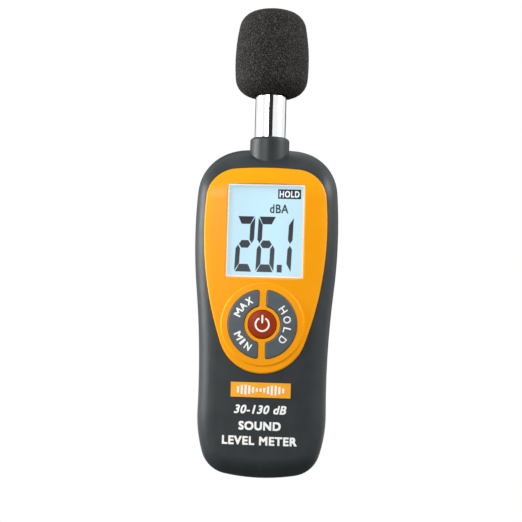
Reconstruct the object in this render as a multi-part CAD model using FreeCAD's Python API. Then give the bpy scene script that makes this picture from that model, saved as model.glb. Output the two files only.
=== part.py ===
import FreeCAD
import Part
import os
from math import cos, hypot, pi, sin, sqrt

# Hand-held sound level meter, in millimetres.
# +Z runs up the body towards the microphone, the front faces -Y, +X is right as seen from the front.
# The origin is at the bottom of the housing, on the microphone's axis, half way through the depth.

# Housing outline, seen from the front: seven tangent arcs a side
HOUSING_TOP_Z = 139.9
HOUSING_HALF_WIDTH = 30.3        # widest, beside the display
WIDEST_Z = 102.0
WAIST_HALF_WIDTH = 26.9
WAIST_Z = 38.0
HEEL_Z = 26.0                    # the slight swell below the waist
TOP_ARC_RADIUS = 90.0
SHOULDER_RADIUS = 21.0
HEEL_RADIUS = 54.0
CORNER_RADIUS = 12.5
BOTTOM_ARC_RADIUS = 85.0
SIDE_ARC_SHARE = 0.37            # share of the side's curvature taken by the convex arc

# Housing section, front to back
FRONT_Y = -15.4
BACK_Y = 17.4
PARTING_Y = 0.0
CROWN_RADIUS = 200.0             # the front is slightly round across its width
FRONT_RIM_RADIUS = 9.0
BACK_RIM_RADIUS = 8.0
BROW_RADIUS = 24.4               # the front leans back over the display towards the collar
BROW_Z = 115.8                   # where the brow leaves the straight front
WALL = 2.2
SEAM_WIDTH = 0.35
SEAM_DEPTH = 0.5
LIP_HEIGHT = 1.2
LIP_WALL = 1.0

# Microphone barrel and collar
TUBE_RADIUS = 6.65
TUBE_WALL = 0.6
TUBE_BOTTOM_Z = 128.8
TUBE_TOP_Z = 182.5
COLLAR_WALL = 1.8                # around the barrel
COLLAR_TOP_Z = 143.8
COLLAR_EDGE_RADIUS = 1.5
COLLAR_BOTTOM_Z = 127.0
CLIP_Z = 131.0
CLIP_THICKNESS = 1.0
CLIP_REACH = 0.8                 # how far the clip stands out of the barrel
CLIP_BITE = 0.35                 # how deep it sits in the barrel's groove
CLIP_OPENING = 8.0               # the gap between its ends, at the back
CAPSULE_RADIUS = 4.85
CAPSULE_LENGTH = 6.0
CAPSULE_SETBACK = 2.5            # from the barrel's end down to the capsule's face
CAPSULE_EDGE_RADIUS = 0.4
CAPSULE_PORT_RADIUS = 1.0
CAPSULE_PORT_DEPTH = 0.4
INSULATOR_LENGTH = 8.0
INSULATOR_SKIRT = 1.0            # how far it reaches below the capsule
GRILLE_HEIGHT = 2.4
GRILLE_TOP_THICKNESS = 0.8
GRILLE_WALL = 1.0
GRILLE_EDGE_RADIUS = 0.5
SPIGOT_LENGTH = 1.0
SOUND_HOLE_RADIUS = 0.7
SOUND_HOLE_COUNT = 6             # round the middle one
SOUND_HOLE_CIRCLE_RADIUS = 3.0
MIC_LEAD_RADIUS = 0.8
MIC_LEAD_DROP = 9.0              # from the board's top edge down to where the lead meets it

# Foam windscreen
FOAM_BOTTOM_Z = 162.0
FOAM_TOP_Z = 199.7
FOAM_RADIUS = 15.9
FOAM_WIDEST_Z = 176.5
FOAM_MOUTH_ROUND = 1.7
FOAM_TOP_ARC_RADIUS = 28.0
FOAM_SIDE_ARC_RADIUS = 80.0
FOAM_BOTTOM_ARC_RADIUS = 60.0
FOAM_SHOULDER_RADIUS = 8.0
FOAM_HEEL_RADIUS = 8.0
FOAM_GRIP_CLEARANCE = 0.05
FOAM_HEADROOM = 0.6

# Orange fascia, display window and keys
FASCIA_TOP_Z = 129.7
FASCIA_BOTTOM_Z = 43.8
FASCIA_HALF_WIDTH = 25.7
FASCIA_WIDEST_Z = 104.0
FASCIA_TOP_RADIUS = 155.0
FASCIA_SHOULDER_RADIUS = 13.2
FASCIA_TOE_RADIUS = 18.4
FASCIA_PROUD = 0.6
FASCIA_DEPTH = 1.9
FASCIA_EDGE_RADIUS = 0.9
FASCIA_GAP = 0.15
SEAT_GAP = 0.1
SEAT_WALL = 2.0
SEAT_MARGIN = 1.6
SEAT_REACH = 7.5                 # how far behind the front the seat may follow the brow
SLIP_FIT = 0.02                  # round pieces that are pushed or screwed together
WINDOW_WIDTH = 32.0
WINDOW_HEIGHT = 38.8
WINDOW_Z = 103.0
WINDOW_BEVEL = 0.45              # how far the opening widens for each millimetre towards the front
PANE_FRONT_Y = FRONT_Y + 1.1
PANE_STEP_Y = FRONT_Y + 2.7
PANE_BACK_Y = FRONT_Y + 3.5
PANE_FLANGE = 1.3
PANE_GAP = 0.1
KEYS_Z = 64.2
KEY_OUTER_RADIUS = 14.3
KEY_INNER_RADIUS = 7.5
KEY_GAP_HALF = 1.55
KEY_CORNER_RADIUS = 0.9
KEY_EDGE_RADIUS = 0.5
KEY_CLEARANCE = 0.15
KEY_FLANGE = 0.6
KEY_FLANGE_FRONT_Y = FRONT_Y + 2.7
KEY_FLANGE_BACK_Y = FRONT_Y + 3.7
KEY_STEM_RADIUS = 1.6
KEY_STEM_END_Y = FRONT_Y + 4.4
KEY_PROUD = 1.85
KEY_DOME_RADIUS = 250.0
POWER_KEY_RADIUS = 5.9
POWER_KEY_PROUD = 2.0            # the front-most point of the meter
POWER_DOME_RADIUS = 35.0
PLATEAU_RADIUS = 15.7
PLATEAU_FOOT_RADIUS = 18.0
PLATEAU_PROUD = 1.6
PLATEAU_FOOT_DEPTH = 1.0         # the cone starts this far behind the front
PLATEAU_HEIGHT = 4.8             # of the cone, before its top is domed
KEY_WELL_RADIUS = 16.6
PLATE_WIDTH = 24.7
PLATE_HEIGHT = 6.1
PLATE_Z = 37.2
PLATE_PROUD = 0.25
PLATE_DEPTH = 0.35

# Display stack and circuit board
GLASS_FRONT_Y = PANE_BACK_Y + 0.2
GLASS_THICKNESS = 2.2
BACKLIGHT_THICKNESS = 2.0
DISPLAY_MARGIN = 1.85            # the glass is this much larger than the window, each side
HOLDER_WALL = 1.4
HOLDER_GAP = 0.1
CONNECTOR_HEIGHT = 2.0
CONNECTOR_RISE = 0.5             # above the glass's lower edge
CONNECTOR_SPACE = 1.0            # from the glass's lower edge to the light guide, besides the strip
BOARD_FRONT_Y = FRONT_Y + 8.6
BOARD_THICKNESS = 1.6
BOARD_HALF_WIDTH = 23.5
BOARD_UPPER_HALF_WIDTH = 19.2
BOARD_BOTTOM_Z = 42.0
BOARD_STEP_Z = 106.0
BOARD_TOP_Z = 126.0
SWITCH_SIZE = 6.0
SWITCH_HEIGHT = 2.8
PLUNGER_RADIUS = 1.1
PLUNGER_CLEARANCE = 0.06
PLUNGER_DEPTH = 0.6              # how deep the plunger sits in its switch at rest
KEY_TRAVEL = 0.8
WELL_FLOOR_GAP = 0.3             # left under the plunger with its key pressed
SWITCH_X = 10.9

# Battery bay, sliding cover and battery
BATTERY_WIDTH = 26.5
BATTERY_DEPTH = 17.5
BATTERY_LENGTH = 46.4
BATTERY_EDGE_RADIUS = 1.6
BATTERY_GAP = 0.2
TERMINAL_HEIGHT = 2.1
TERMINAL_X = 6.35
STUD_RADIUS = 2.9
SOCKET_RADIUS = 3.9
SNAP_THICKNESS = 3.6
SNAP_DEPTH = 13.0
SNAP_END_RADIUS = 6.0
SNAP_MARGIN = 1.0                # narrower than the battery, each side
SNAP_HEADROOM = 5.0              # room for the leads to turn above the snap
PAD_THICKNESS = 2.0
PAD_MARGIN = 2.0                 # smaller than the battery, each side
BAY_WALL = 1.2
BAY_SIDE_GAP = 1.6
BAY_BOTTOM_Z = 4.6
BAY_LOW_RIB_RISE = 26.0          # from the bay's bottom up to the lower rib
BAY_HIGH_RIB_DROP = 8.0          # from the cover's top down to the upper rib
BAY_FOOT_HALF_WIDTH = 8.0        # of the foot under the bay
BAY_FOOT_BOTTOM_Z = 1.0
LEAD_SLOT_START = 4.0            # from the bay's front wall back to the leads' slot
LEAD_SLOT_LENGTH = 6.0
COVER_HALF_WIDTH = 18.5
COVER_WALL = 2.0
COVER_GAP = 0.15
COVER_FRONT_Y = 6.0
TONGUE_REACH = 1.0
TONGUE_THICKNESS = 1.6
TONGUE_GAP = 0.3
TONGUE_BOTTOM_Z = 10.0
TONGUE_TOP_Z = 60.0
RIB_WIDTH = 1.7
GRIP_COUNT = 6
GRIP_PITCH = 2.2
GRIP_WIDTH = 1.1
GRIP_DEPTH = 0.5
GRIP_LENGTH = 18.0
GRIP_BOTTOM_Z = 44.0
LEAD_RADIUS = 0.6
LEAD_BEND_RADIUS = 4.5
LEAD_X = 4.0

# Fasteners and tripod bush
SCREW_RADIUS = 1.1
SCREW_HEAD_RADIUS = 1.9
SCREW_HEAD_HEIGHT = 1.4
SCREW_REACH = 5.0                # how far a housing screw runs into the front boss
HEAD_CLEARANCE = 0.15
BOSS_RADIUS = 2.9
HEAD_RECESS = 3.4                # from the back face to the top of the screw head
CROSS_WIDTH = 0.5
CROSS_DEPTH = 0.8
UPPER_SCREW_X = 15.5
UPPER_SCREW_Z = 129.5
LOWER_SCREW_X = 22.8
LOWER_SCREW_Z = 18.0
BOARD_BOSS_RADIUS = 1.9
BOARD_SCREW_RADIUS = 0.9
BOARD_SCREW_HEAD_RADIUS = 1.7
BOARD_SCREW_HEAD_HEIGHT = 1.1
BOARD_SCREW_LENGTH = 4.5
SCREW_HOLE_EXTRA = 0.5           # every screw hole is this much deeper than its screw
CROSS_SHARE = 0.65               # the cross reaches this share of the head's radius
BOARD_SCREW_PLACES = [(21.6, 96.0), (20.4, 50.0)]
BUSH_Z = 90.0
BUSH_RADIUS = 4.4
BUSH_BORE_RADIUS = 2.55          # minor radius of a 1/4 in - 20 thread
BUSH_LENGTH = 8.0
BUSH_BOSS_WALL = 2.0
BUSH_FLOOR = 1.2

# Components on the back of the board
MAIN_CHIP_Z = 97.0
ANALOGUE_CHIP_Z = 110.0
CRYSTAL_X = 12.0
CRYSTAL_Z = 98.0
CAPACITOR_RADIUS = 2.5
CAPACITOR_HEIGHT = 6.0
CAPACITOR_EDGE_RADIUS = 0.4
CAPACITOR_PLACES = [(9.0, 86.0), (12.5, 112.5), (-1.0, 113.5)]
CHIP_HEIGHT = 1.6
CHIP_CHAMFER = 0.25
LEG_REACH = 1.2                  # how far a leg stands out of the package
LEG_WIDTH = 0.45
LEG_THICKNESS = 0.3
TRIMMER_X = -14.0
TRIMMER_Z = 80.0
TRIMMER_HOLE_RADIUS = 1.5
TRIMMER_SIZE = 6.5
TRIMMER_HEIGHT = 4.6
TRIMMER_SCREW_RADIUS = 1.3
TRIMMER_SCREW_HEIGHT = 0.6
TRIMMER_SLOT_WIDTH = 0.4
TRIMMER_SLOT_DEPTH = 0.5

FAR = 80.0                       # further than any part of the housing from its axis


def vec(x, y, z):
    return FreeCAD.Vector(x, y, z)


def box(x0, x1, y0, y1, z0, z1):
    return Part.makeBox(x1 - x0, y1 - y0, z1 - z0, vec(x0, y0, z0))


def rod_y(radius, x, z, y0, y1):
    """a cylinder along Y from y0 to y1"""
    return Part.makeCylinder(radius, y1 - y0, vec(x, y0, z), vec(0, 1, 0))


def rod_z(radius, z0, z1, x=0.0, y=0.0):
    """a cylinder along Z from z0 to z1"""
    return Part.makeCylinder(radius, z1 - z0, vec(x, y, z0))


def join(first, *others):
    return first.fuse(list(others)).removeSplitter()


def toward(start, end, distance):
    """the point at this distance from start, on the line to end"""
    length = hypot(end[0] - start[0], end[1] - start[1])
    return (start[0] + (end[0] - start[0]) * distance / length,
            start[1] + (end[1] - start[1]) * distance / length)


def nested_centre(c1, r1, c2, r2, radius):
    """centre of the circle of this radius that touches two larger circles from inside, on the +X side"""
    reach1 = r1 - radius
    reach2 = r2 - radius
    gap = hypot(c2[0] - c1[0], c2[1] - c1[1])
    along = (reach1 ** 2 - reach2 ** 2 + gap ** 2) / (2 * gap)
    across = sqrt(reach1 ** 2 - along ** 2)
    ux = (c2[0] - c1[0]) / gap
    uz = (c2[1] - c1[1]) / gap
    foot = (c1[0] + along * ux, c1[1] + along * uz)
    sides = [(foot[0] - across * uz, foot[1] + across * ux), (foot[0] + across * uz, foot[1] - across * ux)]
    return max(sides)


def arc_edge(centre, radius, start, end):
    """the shorter arc from start to end, in the plane of the front"""
    middle = toward(centre, ((start[0] + end[0]) / 2, (start[1] + end[1]) / 2), radius)
    points = [vec(p[0], 0, p[1]) for p in (start, middle, end)]
    return Part.Arc(*points).toShape()


def mirrored(point):
    return (-point[0], point[1])


def symmetric_face(arcs, top, bottom):
    """face inside a chain of arcs on the +X side, its mirror image, and the top and bottom arcs"""
    edges = [arc_edge(top[0], top[1], mirrored(arcs[0][2]), arcs[0][2])]
    edges.append(arc_edge(bottom[0], bottom[1], arcs[-1][3], mirrored(arcs[-1][3])))
    for centre, radius, start, end in arcs:
        edges.append(arc_edge(centre, radius, start, end))
        edges.append(arc_edge(mirrored(centre), radius, mirrored(start), mirrored(end)))
    return Part.Face(Part.Wire(Part.__sortEdges__(edges)))


def housing_face(grow):
    """the housing's outline, moved outwards by grow"""
    width_step = HOUSING_HALF_WIDTH - WAIST_HALF_WIDTH
    both = (width_step ** 2 + (WIDEST_Z - WAIST_Z) ** 2) / (2 * width_step)
    side_r = SIDE_ARC_SHARE * both
    waist_r = both - side_r
    side = (HOUSING_HALF_WIDTH - side_r, WIDEST_Z)
    waist = (WAIST_HALF_WIDTH + waist_r, WAIST_Z)
    heel_x = waist[0] - sqrt((waist_r + HEEL_RADIUS) ** 2 - (WAIST_Z - HEEL_Z) ** 2)
    heel = (heel_x, HEEL_Z)
    top = (0.0, HOUSING_TOP_Z - TOP_ARC_RADIUS)
    bottom = (0.0, BOTTOM_ARC_RADIUS)
    shoulder = nested_centre(top, TOP_ARC_RADIUS, side, side_r, SHOULDER_RADIUS)
    corner = nested_centre(bottom, BOTTOM_ARC_RADIUS, heel, HEEL_RADIUS, CORNER_RADIUS)
    top_end = toward(top, shoulder, TOP_ARC_RADIUS + grow)
    side_start = toward(side, shoulder, side_r + grow)
    side_end = toward(side, waist, side_r + grow)
    heel_start = toward(heel, waist, HEEL_RADIUS + grow)
    heel_end = toward(heel, corner, HEEL_RADIUS + grow)
    bottom_start = toward(bottom, corner, BOTTOM_ARC_RADIUS + grow)
    arcs = [(shoulder, SHOULDER_RADIUS + grow, top_end, side_start),
            (side, side_r + grow, side_start, side_end),
            (waist, waist_r - grow, side_end, heel_start),
            (heel, HEEL_RADIUS + grow, heel_start, heel_end),
            (corner, CORNER_RADIUS + grow, heel_end, bottom_start)]
    return symmetric_face(arcs, (top, TOP_ARC_RADIUS + grow), (bottom, BOTTOM_ARC_RADIUS + grow))


def fascia_face(grow):
    """the fascia's egg outline, moved outwards by grow"""
    toe = (0.0, FASCIA_BOTTOM_Z + FASCIA_TOE_RADIUS)
    rise = FASCIA_WIDEST_Z - toe[1]
    side_r = (FASCIA_HALF_WIDTH ** 2 + rise ** 2 - FASCIA_TOE_RADIUS ** 2)
    side_r = side_r / (2 * (FASCIA_HALF_WIDTH - FASCIA_TOE_RADIUS))
    side = (FASCIA_HALF_WIDTH - side_r, FASCIA_WIDEST_Z)
    top = (0.0, FASCIA_TOP_Z - FASCIA_TOP_RADIUS)
    shoulder = nested_centre(top, FASCIA_TOP_RADIUS, side, side_r, FASCIA_SHOULDER_RADIUS)
    top_end = toward(top, shoulder, FASCIA_TOP_RADIUS + grow)
    side_start = toward(side, shoulder, side_r + grow)
    side_end = toward(side, toe, side_r + grow)
    arcs = [(shoulder, FASCIA_SHOULDER_RADIUS + grow, top_end, side_start),
            (side, side_r + grow, side_start, side_end)]
    return symmetric_face(arcs, (top, FASCIA_TOP_RADIUS + grow), (toe, FASCIA_TOE_RADIUS + grow))


def prism(face, y0, y1):
    """a face in the plane of the front, made a solid from y0 to y1"""
    moved = face.copy()
    moved.translate(vec(0, y0, 0))
    return moved.extrude(vec(0, y1 - y0, 0))


def front_form(grow):
    """everything behind the crowned front and its brow"""
    front = FRONT_Y - grow
    axis_y = FRONT_Y + BROW_RADIUS
    reach = 2 * HOUSING_HALF_WIDTH
    crown = CROWN_RADIUS + grow
    edge_y = front + crown - sqrt(crown ** 2 - reach ** 2)
    arc = Part.Arc(vec(-reach, edge_y, BROW_Z), vec(0, front, BROW_Z), vec(reach, edge_y, BROW_Z)).toShape()
    sides = Part.makePolygon([vec(reach, edge_y, BROW_Z), vec(reach, axis_y, BROW_Z),
                              vec(-reach, axis_y, BROW_Z), vec(-reach, edge_y, BROW_Z)])
    section = Part.Face(Part.Wire([arc] + sides.Edges))
    straight = section.extrude(vec(0, 0, -BROW_Z - FAR))
    brow = section.revolve(vec(0, axis_y, BROW_Z), vec(1, 0, 0), -90)
    back = box(-reach, reach, axis_y, BACK_Y + FAR, -FAR, HOUSING_TOP_Z + FAR)
    return straight.fuse([brow, back])


def rim_edges(body, facing):
    """edges where the outline's side meets the front (facing -1) or the back (facing +1)"""
    found = []
    for edge in body.Edges:
        middle = edge.valueAt((edge.FirstParameter + edge.LastParameter) / 2)
        leans = []
        for face in body.ancestorsOfType(edge, Part.Face):
            u, v = face.Surface.parameter(middle)
            leans.append(face.normalAt(u, v).y * facing)
        if min(leans) < 1e-6 and max(leans) > 0.02:
            found.append(edge)
    return found


def housing(grow):
    """the whole housing without its collar, moved outwards by grow"""
    body = prism(housing_face(grow), FRONT_Y - grow - 1.0, BACK_Y + grow)
    body = body.common(front_form(grow))
    body = body.makeFillet(BACK_RIM_RADIUS + grow, rim_edges(body, 1))
    return body.makeFillet(FRONT_RIM_RADIUS + grow, rim_edges(body, -1))


def collar_radius():
    return TUBE_RADIUS + COLLAR_WALL


def mounted_collar():
    """the round collar that stands out of the housing's top and holds the microphone barrel"""
    collar = rod_z(collar_radius(), COLLAR_BOTTOM_Z, COLLAR_TOP_Z)
    rim = [edge for edge in collar.Edges if abs(edge.BoundBox.ZMin - COLLAR_TOP_Z) < 1e-6]
    return collar.makeFillet(COLLAR_EDGE_RADIUS, rim)


def barrel_bore():
    """the stepped hole in the collar: barrel, clip groove and the narrower lead hole below"""
    bore = rod_z(TUBE_RADIUS + SLIP_FIT, TUBE_BOTTOM_Z - SEAT_GAP, COLLAR_TOP_Z + 1)
    groove_radius = TUBE_RADIUS + CLIP_REACH + SEAT_GAP
    groove = rod_z(groove_radius, CLIP_Z - SEAT_GAP, CLIP_Z + CLIP_THICKNESS + SEAT_GAP)
    return bore.fuse([groove, rod_z(TUBE_RADIUS - 2 * TUBE_WALL, COLLAR_BOTTOM_Z - 1, COLLAR_TOP_Z)])


def screw_places():
    return [(side * x, z) for x, z in ((UPPER_SCREW_X, UPPER_SCREW_Z), (LOWER_SCREW_X, LOWER_SCREW_Z))
            for side in (-1, 1)]


def board_screw_places():
    return [(side * x, z) for x, z in BOARD_SCREW_PLACES for side in (-1, 1)]


def display_size(margin):
    """half width and half height of the window plus a margin"""
    return WINDOW_WIDTH / 2 + margin, WINDOW_HEIGHT / 2 + margin


def display_box(margin, y0, y1):
    half_width, half_height = display_size(margin)
    return box(-half_width, half_width, y0, y1, WINDOW_Z - half_height, WINDOW_Z + half_height)


def display_frame_margin():
    """how far the hole for the display's holder reaches past the window"""
    return DISPLAY_MARGIN + HOLDER_GAP + HOLDER_WALL + 2 * HOLDER_GAP


def ring_key_blank(side, grow, y0, y1):
    """one C-shaped key, left (side -1) or right (side +1), its outline moved outwards by grow"""
    ring = rod_y(KEY_OUTER_RADIUS + grow, 0, KEYS_Z, y0, y1)
    ring = ring.cut(rod_y(KEY_INNER_RADIUS - grow, 0, KEYS_Z, y0 - 1, y1 + 1))
    near = side * (KEY_GAP_HALF - grow)
    near_x, far_x = sorted((near, side * FAR))
    half = ring.common(box(near_x, far_x, y0 - 1, y1 + 1, KEYS_Z - FAR, KEYS_Z + FAR))
    corners = [edge for edge in half.Edges
               if abs(edge.BoundBox.XMin - near) < 1e-3 and abs(edge.BoundBox.XMax - near) < 1e-3
               and edge.BoundBox.YLength > 0.9 * (y1 - y0)]
    return half.makeFillet(KEY_CORNER_RADIUS + grow, corners)


def dome(radius, front_y):
    """a ball whose front-most point is on the key cluster's axis at front_y"""
    return Part.makeSphere(radius, vec(0, front_y + radius, KEYS_Z))


def rounded_front(body, depth, radius):
    """rounds every edge of the front face, which lies within depth of the front-most point"""
    limit = body.BoundBox.YMin + depth
    front = [edge for edge in body.Edges if edge.BoundBox.YMax < limit]
    return body.makeFillet(radius, front)


def ring_key(side):
    cap = ring_key_blank(side, 0, FRONT_Y - 4, KEY_FLANGE_FRONT_Y)
    cap = rounded_front(cap.common(dome(KEY_DOME_RADIUS, FRONT_Y - KEY_PROUD)), 1.0, KEY_EDGE_RADIUS)
    flange = ring_key_blank(side, KEY_FLANGE, KEY_FLANGE_FRONT_Y, KEY_FLANGE_BACK_Y)
    stem = rod_y(KEY_STEM_RADIUS, side * SWITCH_X, KEYS_Z, KEY_FLANGE_BACK_Y, KEY_STEM_END_Y)
    return join(cap, flange, stem)


def power_key():
    cap = rod_y(POWER_KEY_RADIUS, 0, KEYS_Z, FRONT_Y - 4, KEY_FLANGE_FRONT_Y)
    cap = rounded_front(cap.common(dome(POWER_DOME_RADIUS, FRONT_Y - POWER_KEY_PROUD)), 1.0, KEY_EDGE_RADIUS)
    flange = rod_y(POWER_KEY_RADIUS + KEY_FLANGE, 0, KEYS_Z, KEY_FLANGE_FRONT_Y, KEY_FLANGE_BACK_Y)
    stem = rod_y(KEY_STEM_RADIUS, 0, KEYS_Z, KEY_FLANGE_BACK_Y, KEY_STEM_END_Y)
    return join(cap, flange, stem)


def fascia():
    """orange overlay: follows the crowned front, with a round plateau around the keys"""
    body = prism(fascia_face(0), FRONT_Y - 5, FRONT_Y + 12).common(housing(FASCIA_PROUD))
    body = body.makeFillet(FASCIA_EDGE_RADIUS, rim_edges(body, -1))
    plateau = Part.makeCone(PLATEAU_FOOT_RADIUS, PLATEAU_RADIUS, PLATEAU_HEIGHT,
                            vec(0, FRONT_Y + PLATEAU_FOOT_DEPTH, KEYS_Z), vec(0, -1, 0))
    plateau = plateau.common(dome(KEY_DOME_RADIUS, FRONT_Y - PLATEAU_PROUD))
    plateau = rounded_front(plateau, 1.2, KEY_EDGE_RADIUS)
    body = join(body, plateau).cut(housing(-FASCIA_DEPTH))
    inside = display_size(0)
    outside = display_size(2 * WINDOW_BEVEL)
    rims = []
    for y, half in ((PANE_FRONT_Y, inside), (PANE_FRONT_Y - 2, outside)):
        corners = [vec(sx * half[0], y, WINDOW_Z + sz * half[1])
                   for sx, sz in ((-1, -1), (1, -1), (1, 1), (-1, 1))]
        rims.append(Part.makePolygon(corners + corners[:1]))
    body = body.cut(Part.makeLoft(rims, True, True))
    body = body.cut(display_box(0, PANE_FRONT_Y - SEAT_GAP, 0))
    body = body.cut(display_box(PANE_FLANGE + FASCIA_GAP, PANE_STEP_Y - SEAT_GAP, 0))
    body = body.cut(display_box(display_frame_margin(), GLASS_FRONT_Y - 2 * SEAT_GAP, 0))
    for side in (-1, 1):
        body = body.cut(ring_key_blank(side, KEY_CLEARANCE, FRONT_Y - 6, 0))
    return body.cut(rod_y(POWER_KEY_RADIUS + KEY_CLEARANCE, 0, KEYS_Z, FRONT_Y - 6, 0))


def lcd_window():
    face = display_box(-PANE_GAP, PANE_FRONT_Y, PANE_STEP_Y)
    return join(face, display_box(PANE_FLANGE, PANE_STEP_Y, PANE_BACK_Y))


def nameplate_blank(margin):
    return box(-PLATE_WIDTH / 2 - margin, PLATE_WIDTH / 2 + margin, FRONT_Y - 5, FRONT_Y + 5,
               PLATE_Z - PLATE_HEIGHT / 2 - margin, PLATE_Z + PLATE_HEIGHT / 2 + margin)


def nameplate():
    return nameplate_blank(0).common(housing(PLATE_PROUD)).cut(housing(-PLATE_DEPTH))


def lip(outer, inner, y0, y1):
    """the ring of the wall between two offsets of the housing, from y0 to y1, clear of the collar"""
    slab = box(-FAR, FAR, y0, y1, -FAR, HOUSING_TOP_Z + FAR)
    ring = housing(outer).common(slab).cut(housing(inner))
    return ring.cut(rod_z(collar_radius() + SEAT_GAP, COLLAR_BOTTOM_Z - 1, HOUSING_TOP_Z + 5))


def front_shell(outer, hollow):
    """front half of the housing, with the fascia's seat, the screw bosses and the locating lip"""
    ahead = box(-FAR, FAR, -FAR, PARTING_Y, -FAR, COLLAR_TOP_Z + FAR)
    shell = outer.common(ahead).cut(hollow)
    seat_depth = FASCIA_DEPTH + SEAT_GAP
    seat_skin = housing(-seat_depth)
    seat = prism(fascia_face(SEAT_MARGIN), FRONT_Y, FRONT_Y + SEAT_REACH).common(seat_skin)
    seat = seat.cut(housing(-seat_depth - SEAT_WALL))
    trim = housing(-WALL / 2)
    bosses = [rod_y(BOSS_RADIUS, x, z, FRONT_Y, PARTING_Y).common(trim) for x, z in screw_places()]
    for x, z in board_screw_places():
        bosses.append(rod_y(BOARD_BOSS_RADIUS, x, z, FRONT_Y, BOARD_FRONT_Y).common(trim))
    edge = lip(LIP_WALL - WALL, -WALL, PARTING_Y - LIP_WALL, PARTING_Y + LIP_HEIGHT)
    shell = join(shell, seat, edge, *bosses)
    recess = prism(fascia_face(FASCIA_GAP), FRONT_Y - 5, PARTING_Y).cut(seat_skin)
    shell = shell.cut([recess, nameplate_blank(SEAT_GAP).cut(housing(-PLATE_DEPTH - SEAT_GAP))])
    cuts = [display_box(display_frame_margin(), FRONT_Y - 5, BOARD_FRONT_Y), barrel_bore()]
    cuts.append(rod_y(KEY_WELL_RADIUS, 0, KEYS_Z, FRONT_Y - 5, BOARD_FRONT_Y))
    for x, z in screw_places():
        cuts.append(rod_y(SCREW_RADIUS + SLIP_FIT, x, z, PARTING_Y - SCREW_REACH - SCREW_HOLE_EXTRA,
                          PARTING_Y + 2 * LIP_HEIGHT))
    board_reach = BOARD_SCREW_LENGTH - BOARD_THICKNESS + SCREW_HOLE_EXTRA
    for x, z in board_screw_places():
        cuts.append(rod_y(BOARD_SCREW_RADIUS + SLIP_FIT, x, z, BOARD_FRONT_Y - board_reach, BOARD_FRONT_Y))
    return shell.cut(cuts)


def bay_half_width(wall):
    return BATTERY_WIDTH / 2 + BAY_SIDE_GAP + wall


def battery_back_y():
    return BACK_Y - COVER_WALL - BATTERY_GAP


def battery_front_y():
    return battery_back_y() - BATTERY_DEPTH


def battery_bottom_z():
    return BAY_BOTTOM_Z + BAY_WALL + PAD_THICKNESS + 2 * SEAT_GAP


def battery_top_z():
    return battery_bottom_z() + BATTERY_LENGTH


def bay_top_z():
    return battery_top_z() + TERMINAL_HEIGHT + SNAP_THICKNESS + SNAP_HEADROOM


def cover_top_z():
    return bay_top_z() + BAY_WALL


def tongue_back_y():
    return BACK_Y - WALL - TONGUE_GAP


def cover_opening(gap):
    """the slot in the lower back that the cover fills, with a gap on every side"""
    half = COVER_HALF_WIDTH + gap
    return box(-half, half, COVER_FRONT_Y + COVER_GAP - gap, FAR, -FAR, cover_top_z() + gap)


def battery_bay():
    """open-backed tray for the battery, with ribs that tie it to the rear shell's walls"""
    front_y = battery_front_y() - BATTERY_GAP
    half = bay_half_width(BAY_WALL)
    cover_inside = BACK_Y - COVER_WALL - COVER_GAP
    tray = box(-half, half, front_y - BAY_WALL, cover_inside, BAY_BOTTOM_Z, cover_top_z())
    head = box(-half, half, PARTING_Y, BACK_Y - 1, cover_top_z() + COVER_GAP, cover_top_z() + 2 * BAY_WALL)
    neck = box(-half, half, PARTING_Y, cover_inside, cover_top_z() - BAY_WALL, cover_top_z() + 2 * BAY_WALL)
    rib_back_y = tongue_back_y() - TONGUE_THICKNESS - 2 * TONGUE_GAP
    ribs = [box(-FAR, FAR, PARTING_Y + 2 * LIP_HEIGHT, rib_back_y, z, z + BAY_WALL)
            for z in (BAY_BOTTOM_Z + BAY_LOW_RIB_RISE, cover_top_z() - BAY_HIGH_RIB_DROP)]
    ribs.append(box(-BAY_FOOT_HALF_WIDTH, BAY_FOOT_HALF_WIDTH, PARTING_Y + 2 * LIP_HEIGHT,
                    COVER_FRONT_Y - COVER_GAP, BAY_FOOT_BOTTOM_Z, BAY_BOTTOM_Z + BAY_WALL / 2))
    body = join(tray, head, neck, *ribs).common(housing(-WALL / 2))
    body = body.cut(cover_opening(COVER_GAP).cut(housing(-COVER_WALL - COVER_GAP)))
    inner = bay_half_width(0)
    body = body.cut(box(-inner, inner, front_y, BACK_Y - COVER_WALL, BAY_BOTTOM_Z + BAY_WALL, bay_top_z()))
    slot = LEAD_X + 3 * LEAD_RADIUS
    slot_y = front_y + LEAD_SLOT_START
    return body.cut(box(-slot, slot, slot_y, slot_y + LEAD_SLOT_LENGTH, bay_top_z() - 1,
                        cover_top_z() + 4 * BAY_WALL))


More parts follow.
